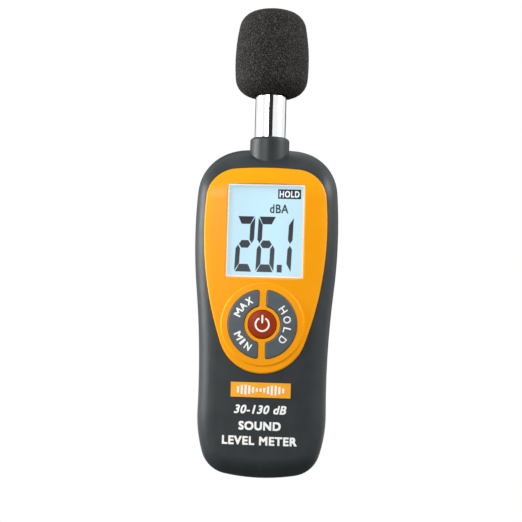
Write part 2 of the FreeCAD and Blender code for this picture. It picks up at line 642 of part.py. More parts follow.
def rear_shell(outer, hollow):
    """back half of the housing, with the battery bay, the screw bosses and the tripod bush's seat"""
    behind = box(-FAR, FAR, PARTING_Y, FAR, -FAR, COLLAR_TOP_Z + FAR)
    shell = outer.common(behind).cut(hollow)
    shell = shell.cut(cover_opening(COVER_GAP))
    trim = housing(-WALL / 2)
    bosses = [rod_y(BOSS_RADIUS, x, z, PARTING_Y, BACK_Y).common(trim) for x, z in screw_places()]
    bush_front_y = BACK_Y - BUSH_LENGTH
    bosses.append(rod_y(BUSH_RADIUS + BUSH_BOSS_WALL, 0, BUSH_Z, bush_front_y - BUSH_FLOOR, BACK_Y - 1))
    shell = join(shell, battery_bay(), *bosses)
    cuts = [lip(LIP_WALL - WALL + SEAT_GAP, -WALL - SEAT_GAP, PARTING_Y, PARTING_Y + LIP_HEIGHT + SEAT_GAP)]
    cuts.append(lip(WALL, -SEAM_DEPTH, PARTING_Y, PARTING_Y + SEAM_WIDTH))
    cuts.append(barrel_bore())
    cuts.append(rod_y(BUSH_RADIUS + SLIP_FIT, 0, BUSH_Z, bush_front_y, BACK_Y + 1))
    cuts.append(rod_y(TRIMMER_HOLE_RADIUS, TRIMMER_X, TRIMMER_Z, BACK_Y - 2 * WALL, BACK_Y + 1))
    for x, z in screw_places():
        cuts.append(rod_y(SCREW_RADIUS + SLIP_FIT, x, z, PARTING_Y - 1, BACK_Y))
        cuts.append(rod_y(SCREW_HEAD_RADIUS + HEAD_CLEARANCE, x, z, screw_seat_y(), BACK_Y + 1))
    reach = COVER_HALF_WIDTH + TONGUE_REACH + 2 * SEAT_GAP
    inside = bay_half_width(BAY_WALL)
    channel_y = (tongue_back_y() - TONGUE_THICKNESS - TONGUE_GAP, tongue_back_y() + TONGUE_GAP)
    for x0, x1 in ((-reach, -inside), (inside, reach)):
        cuts.append(box(x0, x1, channel_y[0], channel_y[1], -1, TONGUE_TOP_Z + 2))
    return shell.cut(cuts)


def battery_cover():
    """sliding cover: the lower back of the housing, with two tongued ribs and a ribbed thumb grip"""
    plate = housing(0).common(cover_opening(0)).cut(housing(-COVER_WALL))
    front_y = tongue_back_y() - TONGUE_THICKNESS
    parts = []
    for side in (-1, 1):
        outer_x = side * (COVER_HALF_WIDTH - TONGUE_GAP)
        rib_x = sorted((outer_x, outer_x - side * RIB_WIDTH))
        parts.append(box(rib_x[0], rib_x[1], front_y, BACK_Y - COVER_WALL / 2, TONGUE_BOTTOM_Z, TONGUE_TOP_Z))
        tongue_x = sorted((outer_x - side * RIB_WIDTH, side * (COVER_HALF_WIDTH + TONGUE_REACH)))
        parts.append(box(tongue_x[0], tongue_x[1], front_y, tongue_back_y(), TONGUE_BOTTOM_Z, TONGUE_TOP_Z))
    cover = join(plate, *parts)
    grooves = []
    for i in range(GRIP_COUNT):
        z = GRIP_BOTTOM_Z + i * GRIP_PITCH
        grooves.append(box(-GRIP_LENGTH / 2, GRIP_LENGTH / 2, BACK_Y - GRIP_DEPTH, BACK_Y + 1,
                           z, z + GRIP_WIDTH))
    return cover.cut(grooves)


def battery():
    body = box(-BATTERY_WIDTH / 2, BATTERY_WIDTH / 2, battery_front_y(), battery_back_y(),
               battery_bottom_z(), battery_top_z())
    upright = [edge for edge in body.Edges if edge.BoundBox.ZLength > BATTERY_LENGTH - 1]
    body = body.makeFillet(BATTERY_EDGE_RADIUS, upright)
    return join(body, *battery_terminals(0))


def battery_terminals(grow):
    middle_y = (battery_front_y() + battery_back_y()) / 2
    top = battery_top_z() + TERMINAL_HEIGHT
    stud = rod_z(STUD_RADIUS + grow, battery_top_z() - 0.5, top + grow, -TERMINAL_X, middle_y)
    socket = rod_z(SOCKET_RADIUS + grow, battery_top_z() - 0.5, top + grow, TERMINAL_X, middle_y)
    return [stud, socket]


def snap_top_z():
    return battery_top_z() + SEAT_GAP + TERMINAL_HEIGHT + SNAP_THICKNESS / 2


def battery_snap():
    middle_y = (battery_front_y() + battery_back_y()) / 2
    half = BATTERY_WIDTH / 2 - SNAP_MARGIN
    body = box(-half, half, middle_y - SNAP_DEPTH / 2, middle_y + SNAP_DEPTH / 2,
               battery_top_z() + SEAT_GAP, snap_top_z())
    ends = [edge for edge in body.Edges if edge.BoundBox.ZLength > SNAP_THICKNESS / 2 and
            edge.BoundBox.XLength < 1e-6 and edge.BoundBox.YLength < 1e-6]
    return body.makeFillet(SNAP_END_RADIUS, ends).cut(battery_terminals(SEAT_GAP))


def battery_pad():
    bottom = BAY_BOTTOM_Z + BAY_WALL + SEAT_GAP
    half = BATTERY_WIDTH / 2 - PAD_MARGIN
    return box(-half, half, battery_front_y() + PAD_MARGIN, battery_back_y() - PAD_MARGIN,
               bottom, bottom + PAD_THICKNESS)


def bent_lead(radius, bend, start, corner, end):
    """a lead that runs from start to corner to end, with an arc of radius bend at the corner"""
    into = (corner - start).normalize()
    out = (end - corner).normalize()
    arc_start = corner - into * bend
    arc_end = corner + out * bend
    centre = arc_start + out * bend
    middle = centre + (corner - centre).normalize() * bend
    path = Part.Wire([Part.LineSegment(start, arc_start).toShape(),
                      Part.Arc(arc_start, middle, arc_end).toShape(),
                      Part.LineSegment(arc_end, end).toShape()])
    profile = Part.Wire([Part.makeCircle(radius, start, into)])
    return path.makePipeShell([profile], True, False)


def battery_lead(x):
    """from the snap, up through the bay's slot and forward to the back of the board"""
    lead_y = battery_front_y() - BATTERY_GAP + LEAD_SLOT_START + LEAD_SLOT_LENGTH / 2
    bend_z = cover_top_z() + 2 * BAY_WALL + LEAD_BEND_RADIUS
    start = vec(x, lead_y, snap_top_z())
    return bent_lead(LEAD_RADIUS, LEAD_BEND_RADIUS, start, vec(x, lead_y, bend_z),
                     vec(x, BOARD_FRONT_Y + BOARD_THICKNESS, bend_z))


def microphone_lead():
    """from the capsule, down the barrel and forward to the back of the board"""
    bend_z = BOARD_TOP_Z - MIC_LEAD_DROP
    return bent_lead(MIC_LEAD_RADIUS, LEAD_BEND_RADIUS, vec(0, 0, capsule_bottom_z()), vec(0, 0, bend_z),
                     vec(0, BOARD_FRONT_Y + BOARD_THICKNESS, bend_z))


def capsule_bottom_z():
    return TUBE_TOP_Z - CAPSULE_SETBACK - CAPSULE_LENGTH


def microphone_tube():
    tube = rod_z(TUBE_RADIUS, TUBE_BOTTOM_Z, TUBE_TOP_Z)
    tube = tube.cut(rod_z(TUBE_RADIUS - TUBE_WALL, TUBE_BOTTOM_Z - 1, TUBE_TOP_Z + 1))
    groove = rod_z(TUBE_RADIUS + CLIP_REACH, CLIP_Z - SLIP_FIT, CLIP_Z + CLIP_THICKNESS + SLIP_FIT)
    return tube.cut(groove.cut(rod_z(TUBE_RADIUS - CLIP_BITE, CLIP_Z - 1, CLIP_Z + CLIP_THICKNESS + 1)))


def tube_clip():
    """spring clip in the barrel's groove, open at the back"""
    ring = rod_z(TUBE_RADIUS + CLIP_REACH, CLIP_Z, CLIP_Z + CLIP_THICKNESS)
    ring = ring.cut(rod_z(TUBE_RADIUS - CLIP_BITE + SLIP_FIT, CLIP_Z - 1, CLIP_Z + CLIP_THICKNESS + 1))
    return ring.cut(box(-CLIP_OPENING / 2, CLIP_OPENING / 2, 0, FAR, CLIP_Z - 1, CLIP_Z + CLIP_THICKNESS + 1))


def microphone_insulator():
    bottom = capsule_bottom_z() - INSULATOR_SKIRT
    ring = rod_z(TUBE_RADIUS - TUBE_WALL - SLIP_FIT, bottom, bottom + INSULATOR_LENGTH)
    return ring.cut(rod_z(CAPSULE_RADIUS + SLIP_FIT, bottom - 1, bottom + INSULATOR_LENGTH + 1))


def microphone_capsule():
    body = rod_z(CAPSULE_RADIUS, capsule_bottom_z(), capsule_bottom_z() + CAPSULE_LENGTH)
    top = [edge for edge in body.Edges if edge.BoundBox.ZMin > capsule_bottom_z() + 1]
    port = rod_z(CAPSULE_PORT_RADIUS, capsule_bottom_z() + CAPSULE_LENGTH - CAPSULE_PORT_DEPTH, TUBE_TOP_Z)
    return body.makeFillet(CAPSULE_EDGE_RADIUS, top).cut(port)


def microphone_grille():
    """cap on the barrel's end: a spigot in the bore, and seven sound holes"""
    cap = rod_z(TUBE_RADIUS, TUBE_TOP_Z, TUBE_TOP_Z + GRILLE_HEIGHT)
    top = [edge for edge in cap.Edges if edge.BoundBox.ZMin > TUBE_TOP_Z + 1]
    cap = cap.makeFillet(GRILLE_EDGE_RADIUS, top)
    spigot_radius = TUBE_RADIUS - TUBE_WALL - SLIP_FIT
    cap = join(cap, rod_z(spigot_radius, TUBE_TOP_Z - SPIGOT_LENGTH, TUBE_TOP_Z))
    cap_top = TUBE_TOP_Z + GRILLE_HEIGHT
    chamber_top = cap_top - GRILLE_TOP_THICKNESS
    holes = [rod_z(spigot_radius - GRILLE_WALL, TUBE_TOP_Z - 2 * SPIGOT_LENGTH, chamber_top),
             rod_z(SOUND_HOLE_RADIUS, TUBE_TOP_Z, cap_top + 1)]
    for i in range(SOUND_HOLE_COUNT):
        angle = i * 2 * pi / SOUND_HOLE_COUNT
        holes.append(rod_z(SOUND_HOLE_RADIUS, TUBE_TOP_Z, cap_top + 1,
                           SOUND_HOLE_CIRCLE_RADIUS * cos(angle), SOUND_HOLE_CIRCLE_RADIUS * sin(angle)))
    return cap.cut(holes)


def windscreen():
    """foam ball, a little narrower at the top, with a blind hole that grips the barrel"""
    hole_radius = TUBE_RADIUS + FOAM_GRIP_CLEARANCE
    hole_top = TUBE_TOP_Z + GRILLE_HEIGHT + FOAM_HEADROOM
    side = (FOAM_RADIUS - FOAM_SIDE_ARC_RADIUS, FOAM_WIDEST_Z)
    top = (0.0, FOAM_TOP_Z - FOAM_TOP_ARC_RADIUS)
    mouth_x = hole_radius + FOAM_MOUTH_ROUND
    bottom = (0.0, FOAM_BOTTOM_Z + sqrt(FOAM_BOTTOM_ARC_RADIUS ** 2 - mouth_x ** 2))
    shoulder = nested_centre(top, FOAM_TOP_ARC_RADIUS, side, FOAM_SIDE_ARC_RADIUS, FOAM_SHOULDER_RADIUS)
    heel = nested_centre(bottom, FOAM_BOTTOM_ARC_RADIUS, side, FOAM_SIDE_ARC_RADIUS, FOAM_HEEL_RADIUS)
    top_end = toward(top, shoulder, FOAM_TOP_ARC_RADIUS)
    side_top = toward(side, shoulder, FOAM_SIDE_ARC_RADIUS)
    side_bottom = toward(side, heel, FOAM_SIDE_ARC_RADIUS)
    heel_end = toward(bottom, heel, FOAM_BOTTOM_ARC_RADIUS)
    mouth = (mouth_x, FOAM_BOTTOM_Z)
    throat = (hole_radius, FOAM_BOTTOM_Z + FOAM_MOUTH_ROUND)
    edges = [arc_edge(top, FOAM_TOP_ARC_RADIUS, (0.0, FOAM_TOP_Z), top_end),
             arc_edge(shoulder, FOAM_SHOULDER_RADIUS, top_end, side_top),
             arc_edge(side, FOAM_SIDE_ARC_RADIUS, side_top, side_bottom),
             arc_edge(heel, FOAM_HEEL_RADIUS, side_bottom, heel_end),
             arc_edge(bottom, FOAM_BOTTOM_ARC_RADIUS, heel_end, mouth),
             arc_edge((mouth_x, throat[1]), FOAM_MOUTH_ROUND, mouth, throat)]
    inner = [vec(throat[0], 0, throat[1]), vec(hole_radius, 0, hole_top),
             vec(0, 0, hole_top), vec(0, 0, FOAM_TOP_Z)]
    edges += Part.makePolygon(inner).Edges
    face = Part.Face(Part.Wire(Part.__sortEdges__(edges)))
    return face.revolve(vec(0, 0, 0), vec(0, 0, 1), 360)


def lcd_glass():
    return display_box(DISPLAY_MARGIN, GLASS_FRONT_Y, GLASS_FRONT_Y + GLASS_THICKNESS)


def backlight_front_y():
    return GLASS_FRONT_Y + GLASS_THICKNESS + SLIP_FIT


def lcd_backlight():
    half_width, half_height = display_size(DISPLAY_MARGIN)
    back_y = backlight_front_y() + BACKLIGHT_THICKNESS
    return box(-half_width, half_width, backlight_front_y(), back_y,
               WINDOW_Z - half_height + CONNECTOR_HEIGHT + CONNECTOR_SPACE, WINDOW_Z + half_height)


def lcd_connector():
    """elastomer strip between the glass and the board, along the display's lower edge"""
    half_width, half_height = display_size(0)
    bottom = WINDOW_Z - half_height - DISPLAY_MARGIN + CONNECTOR_RISE
    return box(-half_width, half_width, backlight_front_y(), BOARD_FRONT_Y, bottom, bottom + CONNECTOR_HEIGHT)


def lcd_holder():
    inner = DISPLAY_MARGIN + HOLDER_GAP
    frame = display_box(inner + HOLDER_WALL, GLASS_FRONT_Y + HOLDER_GAP, BOARD_FRONT_Y)
    return frame.cut(display_box(inner, GLASS_FRONT_Y - 1, BOARD_FRONT_Y + 1))


def main_board():
    back_y = BOARD_FRONT_Y + BOARD_THICKNESS
    lower = box(-BOARD_HALF_WIDTH, BOARD_HALF_WIDTH, BOARD_FRONT_Y, back_y, BOARD_BOTTOM_Z, BOARD_STEP_Z)
    upper = box(-BOARD_UPPER_HALF_WIDTH, BOARD_UPPER_HALF_WIDTH, BOARD_FRONT_Y, back_y,
                BOARD_STEP_Z - 1, BOARD_TOP_Z)
    board = join(lower, upper)
    return board.cut([rod_y(BOARD_SCREW_RADIUS + HEAD_CLEARANCE, x, z, BOARD_FRONT_Y - 1, back_y + 1)
                      for x, z in board_screw_places()])


def on_board(width, height, depth, x, z):
    """a block that stands on the back of the board, centred at x, z"""
    back_y = BOARD_FRONT_Y + BOARD_THICKNESS
    return box(x - width / 2, x + width / 2, back_y, back_y + depth, z - height / 2, z + height / 2)


def chip(width, height, x, z, legs, pitch):
    """a moulded package with a row of legs down each side"""
    body = on_board(width, height, CHIP_HEIGHT, x, z)
    middle_y = BOARD_FRONT_Y + BOARD_THICKNESS + CHIP_HEIGHT / 2
    rim = [edge for edge in body.Edges if edge.BoundBox.YMin > middle_y]
    body = body.makeChamfer(CHIP_CHAMFER, rim)
    rows = []
    for i in range(legs):
        leg_z = z + (i - (legs - 1) / 2) * pitch
        rows.append(on_board(width + 2 * LEG_REACH, LEG_WIDTH, LEG_THICKNESS, x, leg_z))
    return join(body, *rows)


def capacitors():
    back_y = BOARD_FRONT_Y + BOARD_THICKNESS
    cans = []
    for x, z in CAPACITOR_PLACES:
        can = rod_y(CAPACITOR_RADIUS, x, z, back_y, back_y + CAPACITOR_HEIGHT)
        top = [edge for edge in can.Edges if edge.BoundBox.YMin > back_y + 1]
        cans.append(can.makeFillet(CAPACITOR_EDGE_RADIUS, top))
    return Part.makeCompound(cans)


def level_trimmer():
    """calibration potentiometer, its slotted screw in line with the hole in the back"""
    body = on_board(TRIMMER_SIZE, TRIMMER_SIZE, TRIMMER_HEIGHT, TRIMMER_X, TRIMMER_Z)
    face_y = BOARD_FRONT_Y + BOARD_THICKNESS + TRIMMER_HEIGHT
    top_y = face_y + TRIMMER_SCREW_HEIGHT
    screw_head = rod_y(TRIMMER_SCREW_RADIUS, TRIMMER_X, TRIMMER_Z, face_y - 1, top_y)
    slot_x = 2 * TRIMMER_SCREW_RADIUS
    slot = box(TRIMMER_X - slot_x, TRIMMER_X + slot_x, top_y - TRIMMER_SLOT_DEPTH, top_y + 1,
               TRIMMER_Z - TRIMMER_SLOT_WIDTH / 2, TRIMMER_Z + TRIMMER_SLOT_WIDTH / 2)
    return join(body, screw_head).cut(slot)


def switch_bodies():
    """three tactile switches, each with a well that its plunger moves in"""
    front_y = BOARD_FRONT_Y - SWITCH_HEIGHT
    half = SWITCH_SIZE / 2
    bodies = []
    for x in (-SWITCH_X, 0, SWITCH_X):
        body = box(x - half, x + half, front_y, BOARD_FRONT_Y, KEYS_Z - half, KEYS_Z + half)
        well_end = front_y + PLUNGER_DEPTH + KEY_TRAVEL + WELL_FLOOR_GAP
        bodies.append(body.cut(rod_y(PLUNGER_RADIUS + PLUNGER_CLEARANCE, x, KEYS_Z, front_y - 1, well_end)))
    return Part.makeCompound(bodies)


def plunger(x):
    return rod_y(PLUNGER_RADIUS, x, KEYS_Z, KEY_STEM_END_Y, BOARD_FRONT_Y - SWITCH_HEIGHT + PLUNGER_DEPTH)


def cross_slot(x, z, top_y, reach):
    half = CROSS_WIDTH / 2
    floor_y = top_y - CROSS_DEPTH
    return box(x - reach, x + reach, floor_y, top_y + 1, z - half, z + half).fuse(
        box(x - half, x + half, floor_y, top_y + 1, z - reach, z + reach))


def screw_seat_y():
    return BACK_Y - HEAD_RECESS - SCREW_HEAD_HEIGHT


def screw(radius, head_radius, head_height, x, z, tip_y, seat_y):
    """a round-headed cross-slotted screw along Y, driven from the back"""
    head = rod_y(head_radius, x, z, seat_y, seat_y + head_height)
    top = [edge for edge in head.Edges if edge.BoundBox.YMin > seat_y + head_height / 2]
    head = head.makeFillet(head_height / 3, top)
    body = join(head, rod_y(radius, x, z, tip_y, seat_y))
    return body.cut(cross_slot(x, z, seat_y + head_height, head_radius * CROSS_SHARE))


def housing_screws():
    return Part.makeCompound([screw(SCREW_RADIUS, SCREW_HEAD_RADIUS, SCREW_HEAD_HEIGHT, x, z,
                                    PARTING_Y - SCREW_REACH, screw_seat_y()) for x, z in screw_places()])


def board_screws():
    seat_y = BOARD_FRONT_Y + BOARD_THICKNESS
    return Part.makeCompound([screw(BOARD_SCREW_RADIUS, BOARD_SCREW_HEAD_RADIUS, BOARD_SCREW_HEAD_HEIGHT,
                                    x, z, seat_y - BOARD_SCREW_LENGTH, seat_y)
                              for x, z in board_screw_places()])


def tripod_bush():
    """brass insert with a camera-thread bore, its face level with the back"""
    bush = rod_y(BUSH_RADIUS, 0, BUSH_Z, BACK_Y - BUSH_LENGTH, BACK_Y)
    return bush.cut(rod_y(BUSH_BORE_RADIUS, 0, BUSH_Z, BACK_Y - BUSH_LENGTH - 1, BACK_Y + 1))


def build():
    collar = mounted_collar()
    outer = join(housing(0), collar)
    hollow = housing(-WALL).cut(rod_z(collar_radius(), COLLAR_BOTTOM_Z, COLLAR_TOP_Z))
    return {
        "front_shell": front_shell(outer, hollow),
        "rear_shell": rear_shell(outer, hollow),
        "fascia": fascia(),
        "lcd_window": lcd_window(),
        "lcd_glass": lcd_glass(),
        "lcd_backlight": lcd_backlight(),
        "lcd_connector": lcd_connector(),
        "lcd_holder": lcd_holder(),
        "nameplate": nameplate(),
        "max_min_key": ring_key(-1),
        "hold_key": ring_key(1),
        "power_key": power_key(),
        "max_min_plunger": plunger(-SWITCH_X),
        "hold_plunger": plunger(SWITCH_X),
        "power_plunger": plunger(0),
        "switch_bodies": switch_bodies(),
        "main_board": main_board(),
        "main_chip": chip(12, 14, 0, MAIN_CHIP_Z, 15, 0.8),
        "analogue_chip": chip(4, 8.7, -12, ANALOGUE_CHIP_Z, 7, 1.27),
        "crystal": on_board(4.6, 11, 3.5, CRYSTAL_X, CRYSTAL_Z),
        "capacitors": capacitors(),
        "level_trimmer": level_trimmer(),
        "microphone_tube": microphone_tube(),
        "tube_clip": tube_clip(),
        "microphone_capsule": microphone_capsule(),
        "microphone_insulator": microphone_insulator(),
        "microphone_grille": microphone_grille(),
        "microphone_lead": microphone_lead(),
        "windscreen": windscreen(),
        "battery_cover": battery_cover(),
        "battery": battery(),
        "battery_snap": battery_snap(),
        "battery_lead_red": battery_lead(LEAD_X),
        "battery_lead_black": battery_lead(-LEAD_X),
        "battery_pad": battery_pad(),
        "housing_screws": housing_screws(),
        "board_screws": board_screws(),
        "tripod_bush": tripod_bush(),
    }


os.makedirs("parts", exist_ok=True)
for name, shape in build().items():
    shape.exportStep("parts/" + name + ".step")
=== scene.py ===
import math

import bmesh
import bpy
from mathutils import Matrix, Vector
from mathutils.bvhtree import BVHTree


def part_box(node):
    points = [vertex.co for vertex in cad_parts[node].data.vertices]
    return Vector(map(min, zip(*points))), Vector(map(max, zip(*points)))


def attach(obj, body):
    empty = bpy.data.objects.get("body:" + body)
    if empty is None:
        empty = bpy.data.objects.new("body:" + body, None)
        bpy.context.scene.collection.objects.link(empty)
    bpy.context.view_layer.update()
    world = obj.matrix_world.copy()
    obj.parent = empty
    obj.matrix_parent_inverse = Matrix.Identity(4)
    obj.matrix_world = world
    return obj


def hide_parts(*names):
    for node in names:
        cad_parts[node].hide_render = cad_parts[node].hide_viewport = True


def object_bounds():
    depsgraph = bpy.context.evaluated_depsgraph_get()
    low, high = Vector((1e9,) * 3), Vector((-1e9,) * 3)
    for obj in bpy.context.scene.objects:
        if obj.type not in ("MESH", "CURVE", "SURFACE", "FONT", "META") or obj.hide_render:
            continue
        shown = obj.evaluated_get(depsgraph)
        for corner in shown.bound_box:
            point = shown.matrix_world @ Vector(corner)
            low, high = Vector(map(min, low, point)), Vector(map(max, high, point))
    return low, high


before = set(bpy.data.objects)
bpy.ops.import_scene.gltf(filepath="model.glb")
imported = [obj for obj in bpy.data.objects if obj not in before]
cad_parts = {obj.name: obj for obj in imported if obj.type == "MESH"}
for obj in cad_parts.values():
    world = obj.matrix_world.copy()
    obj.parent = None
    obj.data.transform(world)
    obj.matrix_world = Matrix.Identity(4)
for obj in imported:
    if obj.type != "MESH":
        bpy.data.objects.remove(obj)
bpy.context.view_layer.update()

MM = 0.001
scene = bpy.context.scene


# ---- Housing: rear and front shells ---------------------------------------------------------
# Two injection-moulded ABS halves in slate grey that meet on a seam round the sides.
# The mould is spark-eroded, which leaves an even, very fine grain and a soft sheen.
# Four screws from the back hold them together.

def hex_colour(code):
    """an sRGB hex code as the linear RGBA that shaders take"""
    channels = [int(code[i:i + 2], 16) / 255 for i in (1, 3, 5)]
    return [c / 12.92 if c <= 0.04045 else ((c + 0.055) / 1.055) ** 2.4 for c in channels] + [1.0]


def add_node(tree, kind, inputs=None, **settings):
    """adds a node; inputs maps a socket to a value or to another node's output"""
    node = tree.nodes.new(kind)
    for key, value in settings.items():
        setattr(node, key, value)
    for key, value in (inputs or {}).items():
        if isinstance(value, bpy.types.NodeSocket):
            tree.links.new(value, node.inputs[key])
        else:
            node.inputs[key].default_value = value
    return node


def new_material(name, colour, roughness, **shader_inputs):
    """a material with one principled shader; returns it, its tree and the shader"""
    material = bpy.data.materials.new(name)
    material.use_nodes = True
    tree = material.node_tree
    shader = tree.nodes["Principled BSDF"]
    shader.inputs["Base Color"].default_value = hex_colour(colour)
    shader.inputs["Roughness"].default_value = roughness
    for key, value in shader_inputs.items():
        shader.inputs[key.replace("_", " ")].default_value = value
    return material, tree, shader


def mottle(tree, shader, low, high, size_mm, detail=4.0):
    """varies the base colour between two hexes, in clouds about size_mm across"""
    place = add_node(tree, "ShaderNodeTexCoord").outputs["Object"]
    cloud = add_node(tree, "ShaderNodeTexNoise",
                     {"Vector": place, "Scale": 1 / (size_mm * MM), "Detail": detail, "Roughness": 0.6})
    ramp = add_node(tree, "ShaderNodeValToRGB", {"Fac": cloud.outputs["Fac"]})
    ramp.color_ramp.elements[0].position = 0.3
    ramp.color_ramp.elements[1].position = 0.7
    ramp.color_ramp.elements[0].color = hex_colour(low)
    ramp.color_ramp.elements[1].color = hex_colour(high)
    tree.links.new(ramp.outputs["Color"], shader.inputs["Base Color"])
    return place, cloud


def grain(tree, shader, place, size_mm, depth_mm, strength, detail=2.0):
    """a raised grain of this size and depth in the surface"""
    bumps = add_node(tree, "ShaderNodeTexNoise",
                     {"Vector": place, "Scale": 1 / (size_mm * MM), "Detail": detail, "Roughness": 0.5})
    bump = add_node(tree, "ShaderNodeBump",
                    {"Height": bumps.outputs["Fac"], "Strength": strength, "Distance": depth_mm * MM})
    tree.links.new(bump.outputs["Normal"], shader.inputs["Normal"])
    return bumps


def vary_roughness(tree, shader, source, low, high):
    """the shine wanders between two roughnesses with a pattern"""
    spread = add_node(tree, "ShaderNodeMapRange",
                      {"Value": source, "From Min": 0.3, "From Max": 0.7, "To Min": low, "To Max": high})
    tree.links.new(spread.outputs["Result"], shader.inputs["Roughness"])


def finish(material, *nodes):
    """gives CAD nodes a material in every slot"""
    for name in nodes:
        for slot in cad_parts[name].material_slots:
            slot.material = material


# Spark-eroded ABS: 0.35 mm grain, and faint 6 mm clouds of sheen where hands have polished it
slate_abs, tree, shader = new_material("slate_abs_spark_eroded", "#2A2F31", 0.42,
                                       Specular_IOR_Level=0.28)
place, cloud = mottle(tree, shader, "#272C2E", "#2D3234", 6.0)
grain(tree, shader, place, 0.35, 0.03, 0.5)
vary_roughness(tree, shader, cloud.outputs["Fac"], 0.36, 0.46)
finish(slate_abs, "rear_shell", "front_shell", "battery_cover")


# ---- Tripod bush --------------------------------------------------------------------------
# A turned brass insert for a camera screw, moulded into the rear shell with its face level
# with the back. Turning leaves fine marks, drawn as a 0.15 mm grain in a warm, fairly bright metal.

turned_brass, tree, shader = new_material("turned_brass", "#C9A257", 0.28, Metallic=1.0)
place, cloud = mottle(tree, shader, "#B98F45", "#D6B26A", 2.5)
grain(tree, shader, place, 0.15, 0.01, 0.4)
vary_roughness(tree, shader, cloud.outputs["Fac"], 0.22, 0.36)
finish(turned_brass, "tripod_bush")


# ---- Battery, snap, pad and leads -----------------------------------------------------------
# A 9 V block battery in a printed steel wrap sits in the rear shell's bay on a foam pad.
# A moulded snap grips its two terminals, and two insulated leads run from it to the board.

def two_colours(tree, shader, factor, first, second):
    """mixes two hexes by a pattern"""
    blend = add_node(tree, "ShaderNodeMixRGB",
                     {"Fac": factor, "Color1": hex_colour(first), "Color2": hex_colour(second)})
    tree.links.new(blend.outputs["Color"], shader.inputs["Base Color"])


# Printed steel wrap: a dark body, with a copper-coloured band round the last quarter of its height
BAND_START = 0.74                # share of the battery's height
battery_wrap, tree, shader = new_material("printed_battery_wrap", "#23272B", 0.35)
battery_low, battery_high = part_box("battery")
band_z = battery_low.z + BAND_START * (battery_high.z - battery_low.z)
place = add_node(tree, "ShaderNodeTexCoord").outputs["Object"]
height = add_node(tree, "ShaderNodeSeparateXYZ", {"Vector": place}).outputs["Z"]
is_band = add_node(tree, "ShaderNodeMath", {0: height, 1: band_z}, operation="GREATER_THAN").outputs[0]
two_colours(tree, shader, is_band, "#23272B", "#B9783C")
scuffs = grain(tree, shader, place, 0.8, 0.02, 0.3)
vary_roughness(tree, shader, scuffs.outputs["Fac"], 0.28, 0.45)
finish(battery_wrap, "battery")

# Moulded PVC snap and the leads' insulation: soft sheen, slightly uneven
soft_black_pvc, tree, shader = new_material("soft_black_pvc", "#17181A", 0.5)
place, _ = mottle(tree, shader, "#131416", "#1E2022", 3.0)
grain(tree, shader, place, 0.4, 0.02, 0.3)
finish(soft_black_pvc, "battery_snap", "battery_lead_black")
red_pvc, tree, shader = new_material("red_pvc_insulation", "#A81414", 0.42)
place, _ = mottle(tree, shader, "#9A1010", "#B81A1A", 2.0)
grain(tree, shader, place, 0.4, 0.02, 0.3)
finish(red_pvc, "battery_lead_red")
grey_pvc, tree, shader = new_material("grey_pvc_insulation", "#5B5E62", 0.45)
place, _ = mottle(tree, shader, "#53565A", "#666A6E", 2.0)
grain(tree, shader, place, 0.4, 0.02, 0.3)
finish(grey_pvc, "microphone_lead")

# Closed-cell pad: matt, with cells about 0.6 mm across
cell_foam, tree, shader = new_material("closed_cell_foam", "#202122", 0.95)
place, _ = mottle(tree, shader, "#161718", "#2C2D2E", 0.6)
grain(tree, shader, place, 0.6, 0.15, 0.8)

PAD_EDGE = 0.6 * MM              # the die that cuts the pad rounds its edges by this much


def piece_from(name, bm, material, body):
    """makes a finished piece from a bmesh: faces outward, one material, riding on a body"""
    bmesh.ops.recalc_face_normals(bm, faces=bm.faces)
    mesh = bpy.data.meshes.new(name)
    bm.to_mesh(mesh)
    bm.free()
    mesh.materials.append(material)
    piece = bpy.data.objects.new(name, mesh)
    scene.collection.objects.link(piece)
    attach(piece, body)
    return piece


pad_low, pad_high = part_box("battery_pad")
pad = bmesh.new()
bmesh.ops.create_cube(pad, size=1.0)
for vertex in pad.verts:
    vertex.co = [low + (share + 0.5) * (high - low) for share, low, high in zip(vertex.co, pad_low, pad_high)]
bmesh.ops.bevel(pad, geom=pad.edges[:], offset=PAD_EDGE, segments=3, profile=0.5, affect="EDGES")
foam_pad = piece_from("foam_pad", pad, cell_foam, "body")
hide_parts("battery_pad")


# ---- Circuit board and its components -------------------------------------------------------
# Glass-fibre board with green solder mask, held to the front shell by four small screws.
# Black epoxy packages with tinned legs, sleeved capacitors, a tinned crystal can and a blue trimmer.

# Solder mask over copper tracks: tracks about 0.8 mm wide show as a lighter green
TRACK_PITCH = 3.2 * MM
TRACK_HALF_WIDTH = 0.12          # share of the pitch
solder_mask, tree, shader = new_material("green_solder_mask", "#1B5A32", 0.3)
place = add_node(tree, "ShaderNodeTexCoord").outputs["Object"]
tracks = add_node(tree, "ShaderNodeTexVoronoi",
                  {"Vector": place, "Scale": 1 / TRACK_PITCH, "Randomness": 0.35},
                  distance="MANHATTAN", feature="DISTANCE_TO_EDGE")
is_bare = add_node(tree, "ShaderNodeMath", {0: tracks.outputs["Distance"], 1: TRACK_HALF_WIDTH},
                   operation="GREATER_THAN").outputs[0]
two_colours(tree, shader, is_bare, "#2C7A48", "#1A5530")
finish(solder_mask, "main_board")

# Moulded epoxy and plastic packages: near black and dull, with a 0.12 mm grain
black_epoxy, tree, shader = new_material("moulded_black_epoxy", "#1A1B1D", 0.55)
place, _ = mottle(tree, shader, "#151618", "#222427", 1.5)
grain(tree, shader, place, 0.12, 0.01, 0.4)
finish(black_epoxy, "main_chip", "analogue_chip", "capacitors", "switch_bodies")

# Tinned steel can: bright, with clouds in its shine 2 mm across
tinned_steel, tree, shader = new_material("tinned_steel", "#B9BCBE", 0.3, Metallic=1.0)
_, cloud = mottle(tree, shader, "#A8ABAD", "#C6C9CB", 2.0)
vary_roughness(tree, shader, cloud.outputs["Fac"], 0.25, 0.4)
finish(tinned_steel, "crystal")

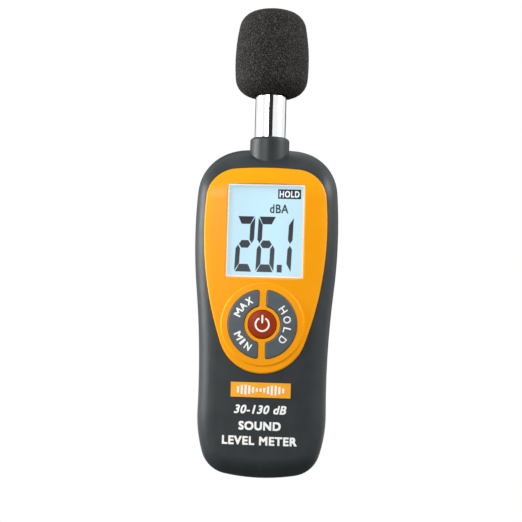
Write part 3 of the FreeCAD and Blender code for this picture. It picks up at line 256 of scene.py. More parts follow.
# Moulded nylon: a clean blue with a soft shine
blue_nylon, tree, shader = new_material("moulded_blue_nylon", "#1F4FA8", 0.4)
place, _ = mottle(tree, shader, "#1B4797", "#255ABA", 1.5)
grain(tree, shader, place, 0.2, 0.01, 0.3)
finish(blue_nylon, "level_trimmer")

# Zinc plate on the steel screws and the barrel's clip: bright, with a faint yellow cloud
zinc_plate, tree, shader = new_material("zinc_plated_steel", "#A9ABA8", 0.32, Metallic=1.0)
_, cloud = mottle(tree, shader, "#9A9C9B", "#BCBDB4", 1.2)
vary_roughness(tree, shader, cloud.outputs["Fac"], 0.26, 0.42)
finish(zinc_plate, "housing_screws", "board_screws", "tube_clip")


# ---- Display stack --------------------------------------------------------------------------
# A white frame on the board carries a light guide, a conductive rubber strip and the liquid
# crystal glass. The figures are dark segments in the glass, over its pale blue light.

# Moulded white ABS: off-white, with a soft sheen and a 0.3 mm grain
white_abs, tree, shader = new_material("white_abs", "#D9D9D4", 0.45)
place, _ = mottle(tree, shader, "#CFCFC9", "#E2E2DD", 4.0)
grain(tree, shader, place, 0.3, 0.01, 0.3)
finish(white_abs, "lcd_holder", "microphone_insulator", "max_min_plunger", "hold_plunger", "power_plunger")

# Acrylic light guide: milky, a trace blue, smooth
light_guide, tree, shader = new_material("acrylic_light_guide", "#E8F2F5", 0.25)
mottle(tree, shader, "#DFECF0", "#F2F8FA", 5.0)
finish(light_guide, "lcd_backlight")

# Elastomer strip: black conductive layers between grey ones, drawn coarser than real so that they show
LAYER_PAIR = 2.513 * MM          # a black layer and a grey one
WAVES_PER_UNIT = 20 / math.tau   # what the wave texture makes in one unit at scale 1
zebra_rubber, tree, shader = new_material("zebra_rubber", "#4A4B4C", 0.6)
place = add_node(tree, "ShaderNodeTexCoord").outputs["Object"]
layers = add_node(tree, "ShaderNodeTexWave", {"Vector": place, "Scale": 1 / (WAVES_PER_UNIT * LAYER_PAIR)})
two_colours(tree, shader, layers.outputs["Fac"], "#1C1C1D", "#77787A")
finish(zebra_rubber, "lcd_connector")

# Lit liquid crystal glass: an even pale blue, with a trace of change in clouds 25 mm across
lit_glass, tree, shader = new_material("lit_display_glass", "#7C9198", 0.5, Emission_Strength=0.75,
                                       Specular_IOR_Level=0.1)
shader.inputs["Emission Color"].default_value = hex_colour("#BDE4F6")
mottle(tree, shader, "#799097", "#80949A", 25.0, detail=1.0)
finish(lit_glass, "lcd_glass")

LCD_FILM = 0.04 * MM             # how far the drawn segments stand off the glass
glass_low, glass_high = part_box("lcd_glass")
glass_middle = (glass_low + glass_high) / 2
glass_y = glass_low.y

# Dyed crystal: bluish black, and paler towards the bottom of the figures
FADE_BOTTOM = 16 * MM            # below the glass's middle
FADE_TOP = 4 * MM                # above it
dyed_crystal, tree, shader = new_material("dyed_crystal", "#1A1A28", 0.5, Specular_IOR_Level=0.1)
place = add_node(tree, "ShaderNodeTexCoord").outputs["Object"]
height = add_node(tree, "ShaderNodeSeparateXYZ", {"Vector": place}).outputs["Z"]
fade = add_node(tree, "ShaderNodeMapRange", {"Value": height, "From Min": glass_middle.z - FADE_BOTTOM,
                                             "From Max": glass_middle.z + FADE_TOP})
two_colours(tree, shader, fade.outputs["Result"], "#3C444C", "#1A1A28")


def add_plate(bm, outline, front_y, back_y):
    """a thin plate with this outline of (x, z) points, from front_y to back_y"""
    front = [bm.verts.new((x, front_y, z)) for x, z in outline]
    back = [bm.verts.new((x, back_y, z)) for x, z in outline]
    bm.faces.new(front)
    bm.faces.new(list(reversed(back)))
    for i in range(len(outline)):
        j = (i + 1) % len(outline)
        bm.faces.new((front[i], back[i], back[j], front[j]))


def segment_outline(which, width, height, bar, upright, gap):
    """one of a figure's seven segments (a to g) as (x, z) points, in a cell centred on 0, 0"""
    right = width / 2
    top = height / 2
    if which in "ad":
        points = [(-right + gap, top), (right - gap, top),
                  (right - upright, top - bar), (-right + upright, top - bar)]
    elif which in "bcef":
        points = [(right, top - gap), (right, bar / 2 + gap), (right - upright / 2, gap),
                  (right - upright, bar / 2 + gap), (right - upright, top - bar - gap)]
    else:
        side = right - upright / 2 - gap
        points = [(-side, 0), (-side + bar / 3, bar / 2), (side - bar / 3, bar / 2),
                  (side, 0), (side - bar / 3, -bar / 2), (-side + bar / 3, -bar / 2)]
    flip_x = which in "ef"
    flip_z = which in "cde"
    return [(-x if flip_x else x, -z if flip_z else z) for x, z in points]


SEGMENTS = {"2": "abged", "6": "afgedc", "1": "bc"}
FIGURE_WIDTH = 7.5 * MM
FIGURE_HEIGHT = 23.2 * MM
FIGURE_BAR = 3.2 * MM
FIGURE_UPRIGHT = 1.9 * MM
FIGURE_GAP = 0.35 * MM
FIGURE_LEAN = 0.035
FIGURE_DROP = 5.5 * MM           # the figures' middle lies this far below the window's
FIGURE_PLACES = {"2": -8.6 * MM, "6": 0.3 * MM, "1": 7.5 * MM}
POINT_SIZE = (2.1 * MM, 3.2 * MM)
POINT_PLACE = 6.1 * MM

figures = bmesh.new()
for figure, middle in FIGURE_PLACES.items():
    for which in SEGMENTS[figure]:
        outline = segment_outline(which, FIGURE_WIDTH, FIGURE_HEIGHT, FIGURE_BAR, FIGURE_UPRIGHT, FIGURE_GAP)
        placed = [(middle + x + z * FIGURE_LEAN, glass_middle.z - FIGURE_DROP + z) for x, z in outline]
        add_plate(figures, placed, glass_y - LCD_FILM, glass_y)
point_bottom = glass_middle.z - FIGURE_DROP - FIGURE_HEIGHT / 2
add_plate(figures, [(POINT_PLACE + sx * POINT_SIZE[0] / 2, point_bottom + sz * POINT_SIZE[1])
                    for sx, sz in ((-1, 0), (1, 0), (1, 1), (-1, 1))], glass_y - LCD_FILM, glass_y)
piece = piece_from("display_figures", figures, dyed_crystal, "body")


def letter_mesh(words, slant, spacing):
    """words as a solid mesh, lying in x and y, its two faces at z = 1 and z = -1"""
    curve = bpy.data.curves.new("letters", "FONT")
    curve.body = words
    curve.shear = slant
    curve.space_character = spacing
    curve.extrude = 1.0
    curve.resolution_u = 4
    curve.align_x = "CENTER"
    holder = bpy.data.objects.new("letters", curve)
    scene.collection.objects.link(holder)
    bpy.context.view_layer.update()
    mesh = bpy.data.meshes.new_from_object(holder.evaluated_get(bpy.context.evaluated_depsgraph_get()))
    bpy.data.objects.remove(holder)
    return mesh


LAYER = 0.002 * MM               # how far apart the copies that make bold strokes lie


def add_words(bm, words, middle, width, height, place, bold=0.0, slant=0.0, spacing=1.0):
    """adds words, width by height, centred on middle (x, z); place(x, z, is_front) puts each point in space.
    Bold grows the strokes by that share of the height each way: four copies, a hair apart."""
    mesh = letter_mesh(words, slant, spacing)
    xs = [v.co.x for v in mesh.vertices]
    ys = [v.co.y for v in mesh.vertices]
    grow = bold * height
    scale_x = (width - 2 * grow) / (max(xs) - min(xs))
    scale_y = (height - 2 * grow) / (max(ys) - min(ys))
    centre_x = (max(xs) + min(xs)) / 2
    centre_y = (max(ys) + min(ys)) / 2
    corners = ((-1, -1), (1, -1), (-1, 1), (1, 1)) if bold else ((0, 0),)
    for layer, (side_x, side_z) in enumerate(corners):
        copy = mesh.copy()
        for vertex in copy.vertices:
            x = middle[0] + (vertex.co.x - centre_x) * scale_x + side_x * grow
            z = middle[1] + (vertex.co.y - centre_y) * scale_y + side_z * grow
            spot = place(x, z, vertex.co.z > 0)
            spot.y -= layer * LAYER
            vertex.co = spot
        bm.from_mesh(copy)
        bpy.data.meshes.remove(copy)
    bpy.data.meshes.remove(mesh)


def on_glass(x, z, is_front):
    """where a letter's point lies: its front stands two films off the glass, clear of the HOLD sign's box"""
    return Vector((x, glass_y - (2 * LCD_FILM if is_front else 0), z))


UNIT_SIZE = (7.7 * MM, 3.7 * MM)
UNIT_MIDDLE = (5.4 * MM, glass_middle.z + 9.5 * MM)
unit_words = bmesh.new()
add_words(unit_words, "dBA", UNIT_MIDDLE, *UNIT_SIZE, on_glass, bold=0.02, spacing=1.1)
piece = piece_from("display_unit", unit_words, dyed_crystal, "body")

HOLD_BOX = (9.6 * MM, 4.0 * MM)
HOLD_MIDDLE = (9.6 * MM, glass_middle.z + 15.7 * MM)
HOLD_WORDS = (8.3 * MM, 2.7 * MM)
hold_box = bmesh.new()
add_plate(hold_box, [(HOLD_MIDDLE[0] + sx * HOLD_BOX[0] / 2, HOLD_MIDDLE[1] + sz * HOLD_BOX[1] / 2)
                     for sx, sz in ((-1, -1), (1, -1), (1, 1), (-1, 1))], glass_y - LCD_FILM, glass_y)
piece = piece_from("display_hold_box", hold_box, dyed_crystal, "body")

# The letters of the HOLD sign are clear gaps in its dark box, so they show the pale light
clear_crystal, tree, shader = new_material("clear_crystal", "#DDF2FA", 0.4, Emission_Strength=0.4)
shader.inputs["Emission Color"].default_value = hex_colour("#DDF2FA")
mottle(tree, shader, "#D6EEF8", "#E4F5FC", 4.0)
hold_words = bmesh.new()
add_words(hold_words, "HOLD", HOLD_MIDDLE, *HOLD_WORDS, on_glass, bold=0.03, spacing=1.15)
piece = piece_from("display_hold_words", hold_words, clear_crystal, "body")


# ---- Fascia -----------------------------------------------------------------------------------
# A glossy orange ABS overlay, seated in the front shell's recess and held by its rounded rim.
# Polished tooling leaves only a slow ripple in its shine.

orange_abs, tree, shader = new_material("polished_orange_abs", "#F29C02", 0.3, Specular_IOR_Level=0.2)
place, cloud = mottle(tree, shader, "#F09A00", "#F49E02", 9.0)
grain(tree, shader, place, 2.2, 0.02, 0.12)
vary_roughness(tree, shader, cloud.outputs["Fac"], 0.27, 0.35)
finish(orange_abs, "fascia")


# ---- Window pane ------------------------------------------------------------------------------
# A stepped pane of clear acrylic, bonded behind the fascia with its face in the opening.
# A thin white line is painted round its face, just inside the opening: a painted highlight where the
# opening's bevel catches the light.

# Clear acrylic: all but invisible, save for the lights' reflections and a very slow ripple in them
clear_acrylic, tree, shader = new_material("clear_acrylic", "#F2FAFD", 0.06, IOR=1.49, Alpha=0.02,
                                          Specular_IOR_Level=0.3)
place = add_node(tree, "ShaderNodeTexCoord").outputs["Object"]
grain(tree, shader, place, 12.0, 0.02, 0.05)
clear_acrylic.surface_render_method = "BLENDED"
finish(clear_acrylic, "lcd_window")

# Pad-printed white ink: a slightly uneven film. The same white also draws the painted highlight round the
# window pane.
white_ink_and_highlight, tree, shader = new_material("white_ink_and_painted_highlight", "#F3F3F0", 0.45)
place, _ = mottle(tree, shader, "#EDEDE9", "#F8F8F6", 0.8)
grain(tree, shader, place, 0.25, 0.01, 0.3)

FILM_THICKNESS = 0.05 * MM                  # thickness of the film
PANE_FACE = (31.8 * MM, 38.6 * MM)
HIGHLIGHT_WIDTH = 0.5 * MM
pane_low, pane_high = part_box("lcd_window")
pane_z = (pane_low.z + pane_high.z) / 2
pane_y = pane_low.y
half_x, half_z = PANE_FACE[0] / 2, PANE_FACE[1] / 2
# Painted highlight: a white frame just inside the opening, standing in for its bevel catching the light
painted_edge_highlight = bmesh.new()
inner_x, inner_z = half_x - HIGHLIGHT_WIDTH, half_z - HIGHLIGHT_WIDTH
for near_x, far_x, near_z, far_z in ((-half_x, half_x, inner_z, half_z),
                                     (-half_x, half_x, -half_z, -inner_z),
                                     (-half_x, -inner_x, -inner_z, inner_z),
                                     (inner_x, half_x, -inner_z, inner_z)):
    corners = [(near_x, near_z), (far_x, near_z), (far_x, far_z), (near_x, far_z)]
    add_plate(painted_edge_highlight, [(x, pane_z + z) for x, z in corners], pane_y - FILM_THICKNESS, pane_y)
piece = piece_from("pane_painted_highlight", painted_edge_highlight, white_ink_and_highlight, "body")


# ---- Keys -------------------------------------------------------------------------------------
# Two C-shaped keys in slate ABS stand round a domed red power key, each on its own switch.
# Their words and the power sign are printed in white ink.

# The keys' ABS: a paler slate than the housing's, satin, with a 0.3 mm grain
slate_key_abs, tree, shader = new_material("slate_key_abs", "#4D565B", 0.42, Specular_IOR_Level=0.35)
place, cloud = mottle(tree, shader, "#4A5358", "#50595E", 4.0)
grain(tree, shader, place, 0.3, 0.02, 0.35)
vary_roughness(tree, shader, cloud.outputs["Fac"], 0.36, 0.48)
finish(slate_key_abs, "max_min_key", "hold_key")

# The power key's ABS: a deep brick red, satin, with the same grain
red_key_abs, tree, shader = new_material("brick_red_abs", "#942E06", 0.34, Specular_IOR_Level=0.2)
place, cloud = mottle(tree, shader, "#8E2A04", "#9A3208", 3.0)
grain(tree, shader, place, 0.3, 0.01, 0.25)
vary_roughness(tree, shader, cloud.outputs["Fac"], 0.3, 0.4)
finish(red_key_abs, "power_key")


def faces_of(node):
    """a CAD node's faces, to cast rays at"""
    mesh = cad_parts[node].data
    return BVHTree.FromPolygons([v.co for v in mesh.vertices], [list(p.vertices) for p in mesh.polygons])


def surface_of(node):
    """finds a CAD node's front face: returns place(x, z, is_front) for ink laid on it"""
    faces = faces_of(node)

    def place(x, z, is_front):
        hit = faces.ray_cast(Vector((x, -1.0, z)), Vector((0, 1, 0)))[0]
        return Vector((x, hit.y - FILM_THICKNESS if is_front else hit.y + FILM_THICKNESS, z))
    return place


def round_the_ring(place, centre, angle, radius, upside_down):
    """bends letters round the ring of keys: turns a letter drawn at 0, 0 to its angle and radius"""
    turn = angle - math.pi / 2 + (math.pi if upside_down else 0)

    def placed(x, z, is_front):
        turned_x = centre[0] + math.cos(angle) * radius + x * math.cos(turn) - z * math.sin(turn)
        turned_z = centre[1] + math.sin(angle) * radius + x * math.sin(turn) + z * math.cos(turn)
        return place(turned_x, turned_z, is_front)
    return placed


power_low, power_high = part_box("power_key")
ring_centre = ((power_low.x + power_high.x) / 2, (power_low.z + power_high.z) / 2)
LETTER_WIDTH = 0.84              # of a capital, as a share of its height
LETTER_SHARES = {"M": 1.25, "I": 0.42, "L": 0.85, "O": 1.12}    # of that width


def ring_words(name, words, key, first, last, radius, height, bold, upside_down=False):
    """white letters on a key, spaced evenly from the first angle to the last, in degrees"""
    letters = bmesh.new()
    for i, letter in enumerate(words):
        angle = math.radians(first + (last - first) * i / (len(words) - 1))
        place = round_the_ring(surface_of(key), ring_centre, angle, radius, upside_down)
        width = height * LETTER_WIDTH * LETTER_SHARES.get(letter, 1.0)
        add_words(letters, letter, (0, 0), width, height, place, bold=bold)
    piece = piece_from(name, letters, white_ink_and_highlight, key)


ring_words("max_print", "MAX", "max_min_key", first=155, last=121,
           radius=11.0 * MM, height=3.0 * MM, bold=0.035)
ring_words("min_print", "MIN", "max_min_key", first=207, last=238,
           radius=10.8 * MM, height=3.0 * MM, bold=0.035, upside_down=True)
ring_words("hold_print", "HOLD", "hold_key", first=36, last=-36,
           radius=10.4 * MM, height=3.1 * MM, bold=0.015)

# The power sign: a ring with a gap at its top, and an upright bar in the gap
SIGN_RADIUS = 2.75 * MM
SIGN_STROKE = 0.72 * MM
SIGN_GAP = 27                    # degrees each side of the top
SIGN_BAR = (0.5 * MM, 3.8 * MM)  # the bar's ends, above the key's middle
SIGN_STEPS = 40
on_power_key = surface_of("power_key")
sign = bmesh.new()
rim = []
for i in range(SIGN_STEPS + 1):
    angle = math.radians(90 + SIGN_GAP + (360 - 2 * SIGN_GAP) * i / SIGN_STEPS)
    rim.append([(ring_centre[0] + math.cos(angle) * r, ring_centre[1] + math.sin(angle) * r)
                for r in (SIGN_RADIUS - SIGN_STROKE / 2, SIGN_RADIUS + SIGN_STROKE / 2)])
half_bar = SIGN_STROKE / 2
bar = [[(ring_centre[0] + side * half_bar, ring_centre[1] + z) for side in (-1, 1)] for z in SIGN_BAR]


def add_ribbon(bm, pairs, place):
    """an inked band between pairs of edge points"""
    rows = [[bm.verts.new(place(x, z, is_front)) for is_front in (True, False) for x, z in pair]
            for pair in pairs]
    for a, b in zip(rows, rows[1:]):
        bm.faces.new((a[0], a[1], b[1], b[0]))
        bm.faces.new((a[2], b[2], b[3], a[3]))
        bm.faces.new((a[0], b[0], b[2], a[2]))
        bm.faces.new((a[1], a[3], b[3], b[1]))
    bm.faces.new((rows[0][0], rows[0][2], rows[0][3], rows[0][1]))
    bm.faces.new((rows[-1][0], rows[-1][1], rows[-1][3], rows[-1][2]))


add_ribbon(sign, rim, on_power_key)
add_ribbon(sign, bar, on_power_key)
piece = piece_from("power_sign", sign, white_ink_and_highlight, "power_key")


# ---- Nameplate ----------------------------------------------------------------------------------
# A thin aluminium plate, sprayed orange, bonded in a shallow recess under the fascia.
# It carries a plain row of level bars in white.

# Sprayed paint on metal: a satin orange a little paler than the fascia's, with 0.4 mm orange peel
sprayed_orange, tree, shader = new_material("sprayed_orange_plate", "#F5A50F", 0.38)
place, _ = mottle(tree, shader, "#F2A00A", "#F8AC1C", 5.0)
grain(tree, shader, place, 0.4, 0.01, 0.3)
finish(sprayed_orange, "nameplate")


def geometry_tree(name, **sizes):
    """an empty geometry node tree with a geometry input, number inputs and a geometry output"""
    tree = bpy.data.node_groups.new(name, "GeometryNodeTree")
    tree.interface.new_socket("Geometry", in_out="INPUT", socket_type="NodeSocketGeometry")
    for key, value in sizes.items():
        kind = "NodeSocketInt" if isinstance(value, int) else "NodeSocketFloat"
        tree.interface.new_socket(key, in_out="INPUT", socket_type=kind).default_value = value
    tree.interface.new_socket("Geometry", in_out="OUTPUT", socket_type="NodeSocketGeometry")
    return tree, add_node(tree, "NodeGroupInput").outputs


def finish_tree(tree, geometry, material):
    """ends a tree: instances made real, one material, out"""
    real = add_node(tree, "GeometryNodeRealizeInstances", {"Geometry": geometry})
    painted = add_node(tree, "GeometryNodeSetMaterial", {"Geometry": real.outputs[0], "Material": material})
    add_node(tree, "NodeGroupOutput", {0: painted.outputs[0]})


def grow_mesh(name, base, tree, **sizes):
    """runs a tree on a base mesh with these sizes and returns the plain mesh that it makes"""
    holder = bpy.data.objects.new(name, base)
    scene.collection.objects.link(holder)
    modifier = holder.modifiers.new(name, "NODES")
    modifier.node_group = tree
    sockets = {item.name: item.identifier for item in tree.interface.items_tree if item.in_out == "INPUT"}
    for key, value in sizes.items():
        modifier[sockets[key]] = value
    bpy.context.view_layer.update()
    made = bpy.data.meshes.new_from_object(holder.evaluated_get(bpy.context.evaluated_depsgraph_get()))
    bpy.data.objects.remove(holder)
    return made


BAR_COUNT = 13
BAR_PITCH = 1.55 * MM
BAR_WIDTH = 0.85 * MM
BAR_TALL = 4.0 * MM
BAR_TURN = 0.83                  # radians of the swell from one bar to the next
BAR_SHORTEST = 0.3               # share of the tallest

# A row of upright bars on a line, whose heights swell and fall as a sound level does
tree, given = geometry_tree("level_bars", Count=BAR_COUNT, Pitch=BAR_PITCH, Width=BAR_WIDTH, Tall=BAR_TALL)
index = add_node(tree, "GeometryNodeInputIndex").outputs[0]
step = add_node(tree, "ShaderNodeCombineXYZ", {"X": given["Pitch"]})
row = add_node(tree, "GeometryNodeMeshLine", {"Count": given["Count"], "Offset": step.outputs[0]})
phase = add_node(tree, "ShaderNodeMath", {0: index, 1: BAR_TURN}, operation="MULTIPLY")
wave = add_node(tree, "ShaderNodeMath", {0: phase.outputs[0]}, operation="SINE")
share = add_node(tree, "ShaderNodeMapRange", {"Value": wave.outputs[0], "From Min": -1.0, "From Max": 1.0,
                                              "To Min": BAR_SHORTEST, "To Max": 1.0})
size = add_node(tree, "ShaderNodeCombineXYZ", {"X": 1.0, "Y": 1.0, "Z": share.outputs[0]})
block_size = add_node(tree, "ShaderNodeCombineXYZ", {"X": given["Width"], "Y": 2 * FILM_THICKNESS, "Z": given["Tall"]})
block = add_node(tree, "GeometryNodeMeshCube", {"Size": block_size.outputs[0]})
bars = add_node(tree, "GeometryNodeInstanceOnPoints",
                {"Points": row.outputs[0], "Instance": block.outputs[0], "Scale": size.outputs[0]})
finish_tree(tree, bars.outputs[0], white_ink_and_highlight)
bar_mesh = grow_mesh("level_bars", bpy.data.meshes.new("no_points"), tree)
plate_low, plate_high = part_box("nameplate")
on_plate = surface_of("nameplate")
row_width = (BAR_COUNT - 1) * BAR_PITCH
for vertex in bar_mesh.vertices:
    x = vertex.co.x - row_width / 2
    z = (plate_low.z + plate_high.z) / 2 + vertex.co.z
    vertex.co = on_plate(x, z, vertex.co.y < 0)
bars_bm = bmesh.new()
bars_bm.from_mesh(bar_mesh)
piece = piece_from("nameplate_bars", bars_bm, white_ink_and_highlight, "body")


# ---- Words on the front shell -------------------------------------------------------------------
# Three lines in white ink, pad-printed under the plate: the range, and what the instrument is.

on_front = surface_of("front_shell")
LINE_HEIGHT = 3.6 * MM
# Each line's words, the height of its middle and its width in mm, its boldness, slant and letter spacing
FRONT_LINES = [("range_print", "30-130 dB", 29.2, 21.6, 0.035, 0.25, 1.1),
               ("sound_print", "SOUND", 22.5, 17.4, 0.05, 0.0, 1.1),
               ("level_meter_print", "LEVEL METER", 16.4, 30.8, 0.05, 0.0, 1.12)]
for name, words, z, width, bold, slant, spacing in FRONT_LINES:
    line = bmesh.new()
    add_words(line, words, (0, z * MM), width * MM, LINE_HEIGHT, on_front,
              bold=bold, slant=slant, spacing=spacing)
    piece = piece_from(name, line, white_ink_and_highlight, "body")


# ---- Arrow on the battery cover --------------------------------------------------------------------
# A slim arrow in white ink under the cover's grip ridges, pointing the way that the cover slides off.

cover_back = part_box("battery_cover")[1].y
ARROW = [(0, -5), (3, -1.5), (1, -1.5), (1, 5), (-1, 5), (-1, -1.5), (-3, -1.5)]    # (x, z) in mm
ARROW_Z = 34 * MM                # height of its middle
arrow = bmesh.new()
add_plate(arrow, [(x * MM, ARROW_Z + z * MM) for x, z in ARROW], cover_back - FILM_THICKNESS, cover_back + FILM_THICKNESS)
piece = piece_from("cover_arrow", arrow, white_ink_and_highlight, "battery_cover")


# ---- Microphone -----------------------------------------------------------------------------------
# A half-inch brass barrel, polished and chromed, sits in the collar on a spring clip.
# The capsule is held in it by a white ring, under a drilled cap.

# Bright chrome: nearly a mirror, with a faint drawn line along the barrel every 0.4 mm or so
bright_chrome, tree, shader = new_material("bright_chrome", "#F2F3F4", 0.06, Metallic=1.0)
place = add_node(tree, "ShaderNodeTexCoord").outputs["Object"]
stretched = add_node(tree, "ShaderNodeMapping", {"Vector": place, "Scale": (1.0, 1.0, 0.03)})
drawn = add_node(tree, "ShaderNodeTexNoise",
                 {"Vector": stretched.outputs[0], "Scale": 1 / (0.4 * MM), "Detail": 2.0})
vary_roughness(tree, shader, drawn.outputs["Fac"], 0.05, 0.11)
finish(bright_chrome, "microphone_tube", "microphone_grille")

# Anodised aluminium: a grey satin metal, slightly cloudy
anodised, tree, shader = new_material("anodised_aluminium", "#B4B7BA", 0.35, Metallic=1.0)
_, cloud = mottle(tree, shader, "#A9ACAF", "#BEC1C4", 1.5)
vary_roughness(tree, shader, cloud.outputs["Fac"], 0.3, 0.42)
finish(anodised, "microphone_capsule")


# ---- Windscreen -------------------------------------------------------------------------------------
# A moulded ball of black open-cell polyurethane foam, pushed over the barrel. Its skin is all
# cut cells, about 0.5 mm across, so the outline is rough and the face is speckled.

foam_low, foam_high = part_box("windscreen")
barrel_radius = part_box("microphone_tube")[1].x
cap_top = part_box("microphone_grille")[1].z
FOAM_RADIUS = (foam_high.x - foam_low.x) / 2
FOAM_HOLE = barrel_radius + 0.05 * MM
FOAM_LIP = 1.7 * MM              # radius of the lip round the hole
FOAM_STEP = 0.3 * MM             # distance between points of the skin
OUTLINE_STEPS = 600              # rays cast at the ball's outline, before it is thinned to that distance
LIP_STEPS = 6
HOLE_STEPS = 24
HOLE_ROOF = cap_top + 0.5 * MM   # the hole ends just above the microphone's cap
SMOOTH_RADIUS = FOAM_HOLE + 0.4 * MM    # no pores are cut nearer the barrel than this,
SMOOTH_TOP = cap_top + 2 * MM           # up to this height
PORE_SIZE = 0.5 * MM
PORE_DEPTH = 0.25 * MM
SPECK_SIZE = 0.3 * MM


def foam_profile():
    """(radius, z) points from the crown down the solid ball's outside, round the lip and up the hole"""
    faces = faces_of("windscreen")
    heart = (foam_low + foam_high) / 2
    points = [(0.0, foam_high.z)]
    for i in range(1, OUTLINE_STEPS):
        turn = math.pi * i / OUTLINE_STEPS
        outward = Vector((math.sin(turn), 0, math.cos(turn)))
        spot = faces.ray_cast(heart + 2 * FOAM_RADIUS * outward, -outward)[0]
        if turn > math.pi / 2 and (spot is None or spot.x < FOAM_HOLE + FOAM_LIP):
            break
        points.append((spot.x, spot.z))
    for i in range(1, LIP_STEPS + 1):
        turn = math.pi / 2 * i / LIP_STEPS
        points.append((FOAM_HOLE + FOAM_LIP * (1 - math.sin(turn)),
                       foam_low.z + FOAM_LIP * (1 - math.cos(turn))))
    for i in range(1, HOLE_STEPS + 1):
        climb = (HOLE_ROOF - foam_low.z - FOAM_LIP) * i / HOLE_STEPS
        points.append((FOAM_HOLE, foam_low.z + FOAM_LIP + climb))
    points.append((0.0, HOLE_ROOF))
    return points


def evenly(points, step):
    """the same line with points about one step apart"""
    kept = [points[0]]
    for point in points[1:-1]:
        if math.dist(point, kept[-1]) >= step:
            kept.append(point)
    return kept + [points[-1]]


def spun(profile, around):
    """a closed solid of revolution about the barrel's axis"""
    bm = bmesh.new()
    first = bm.verts.new((0, 0, profile[0][1]))
    rings = []
    for radius, z in profile[1:-1]:
        rings.append([bm.verts.new((radius * math.cos(2 * math.pi * i / around),
                                    radius * math.sin(2 * math.pi * i / around), z)) for i in range(around)])
    last = bm.verts.new((0, 0, profile[-1][1]))
    for i in range(around):
        j = (i + 1) % around
        bm.faces.new((first, rings[0][i], rings[0][j]))
        bm.faces.new((last, rings[-1][j], rings[-1][i]))
        for upper, lower in zip(rings, rings[1:]):
            bm.faces.new((upper[i], lower[i], lower[j], upper[j]))
    for face in bm.faces:
        face.smooth = True
    return bm


profile = evenly(foam_profile(), FOAM_STEP)
ball = spun(profile, int(2 * math.pi * FOAM_RADIUS / FOAM_STEP))
bmesh.ops.recalc_face_normals(ball, faces=ball.faces)
ball_mesh = bpy.data.meshes.new("foam_ball")
ball.to_mesh(ball_mesh)
ball.free()

# Open-cell foam: the pores are dark pits, drawn with painted shade, and the struts between them carry painted
# highlights where they catch the light
open_cell_foam, tree, shader = new_material("open_cell_foam", "#2B2928", 0.95, Specular_IOR_Level=0.25)
place = add_node(tree, "ShaderNodeTexCoord").outputs["Object"]
cells = add_node(tree, "ShaderNodeTexVoronoi", {"Vector": place, "Scale": 1 / PORE_SIZE}, feature="F1")
specks = add_node(tree, "ShaderNodeTexNoise", {"Vector": place, "Scale": 1 / SPECK_SIZE, "Detail": 3.0})
strut = add_node(tree, "ShaderNodeMapRange",
                 {"Value": cells.outputs["Distance"], "From Min": 0.25, "From Max": 0.75})
lit = add_node(tree, "ShaderNodeMath", {0: strut.outputs[0], 1: specks.outputs["Fac"]}, operation="MULTIPLY")
# Painted shade in the pores (#100F0F) and painted highlights on the struts (#4C4947)
ramp = add_node(tree, "ShaderNodeValToRGB", {"Fac": lit.outputs[0]})
ramp.color_ramp.elements[0].position = 0.2
ramp.color_ramp.elements[0].color = hex_colour("#100F0F")
ramp.color_ramp.elements[1].position = 0.62
ramp.color_ramp.elements[1].color = hex_colour("#4C4947")
tree.links.new(ramp.outputs["Color"], shader.inputs["Base Color"])
bump = add_node(tree, "ShaderNodeBump", {"Height": lit.outputs[0], "Strength": 0.8, "Distance": 0.2 * MM})
tree.links.new(bump.outputs["Normal"], shader.inputs["Normal"])

# The pores are cut in the mesh too: every point moves in where a cell's middle is
tree, given = geometry_tree("foam_pores", Size=PORE_SIZE, Depth=PORE_DEPTH, Grip=SMOOTH_RADIUS)
position = add_node(tree, "GeometryNodeInputPosition").outputs[0]
height = add_node(tree, "ShaderNodeSeparateXYZ", {0: position}).outputs["Z"]
normal = add_node(tree, "GeometryNodeInputNormal").outputs[0]
fineness = add_node(tree, "ShaderNodeMath", {0: 1.0, 1: given["Size"]}, operation="DIVIDE").outputs[0]
cells = add_node(tree, "ShaderNodeTexVoronoi", {"Vector": position, "Scale": fineness}, feature="F1")
hollow = add_node(tree, "ShaderNodeMapRange", {"Value": cells.outputs["Distance"], "From Min": 0.15,
                                               "From Max": 0.7, "To Min": -1.0, "To Max": 0.0})
flat = add_node(tree, "ShaderNodeVectorMath", {0: position, 1: (1.0, 1.0, 0.0)}, operation="MULTIPLY")
reach = add_node(tree, "ShaderNodeVectorMath", {0: flat.outputs[0]}, operation="LENGTH")
is_skin = add_node(tree, "ShaderNodeMath", {0: reach.outputs["Value"], 1: given["Grip"]},
                   operation="GREATER_THAN")
is_crown = add_node(tree, "ShaderNodeMath", {0: height, 1: SMOOTH_TOP}, operation="GREATER_THAN")
is_open = add_node(tree, "ShaderNodeMath", {0: is_skin.outputs[0], 1: is_crown.outputs[0]},
                   operation="MAXIMUM")
depth = add_node(tree, "ShaderNodeMath", {0: hollow.outputs[0], 1: given["Depth"]}, operation="MULTIPLY")
depth = add_node(tree, "ShaderNodeMath", {0: depth.outputs[0], 1: is_open.outputs[0]}, operation="MULTIPLY")
inward = add_node(tree, "ShaderNodeVectorMath", {0: normal, "Scale": depth.outputs[0]}, operation="SCALE")
pitted = add_node(tree, "GeometryNodeSetPosition",
                  {"Geometry": given["Geometry"], "Offset": inward.outputs[0]})
finish_tree(tree, pitted.outputs[0], open_cell_foam)
foam_mesh = grow_mesh("foam_pores", ball_mesh, tree)
foam_ball = bpy.data.objects.new("foam_windscreen", foam_mesh)
scene.collection.objects.link(foam_ball)
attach(foam_ball, "windscreen")
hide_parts("windscreen")


# ---- Studio --------------------------------------------------------------------------------------------
# A white surround and four soft lights. Narrow dark flags stand beside and before the meter, out
# of the camera's sight, to give the chrome its dark lines.

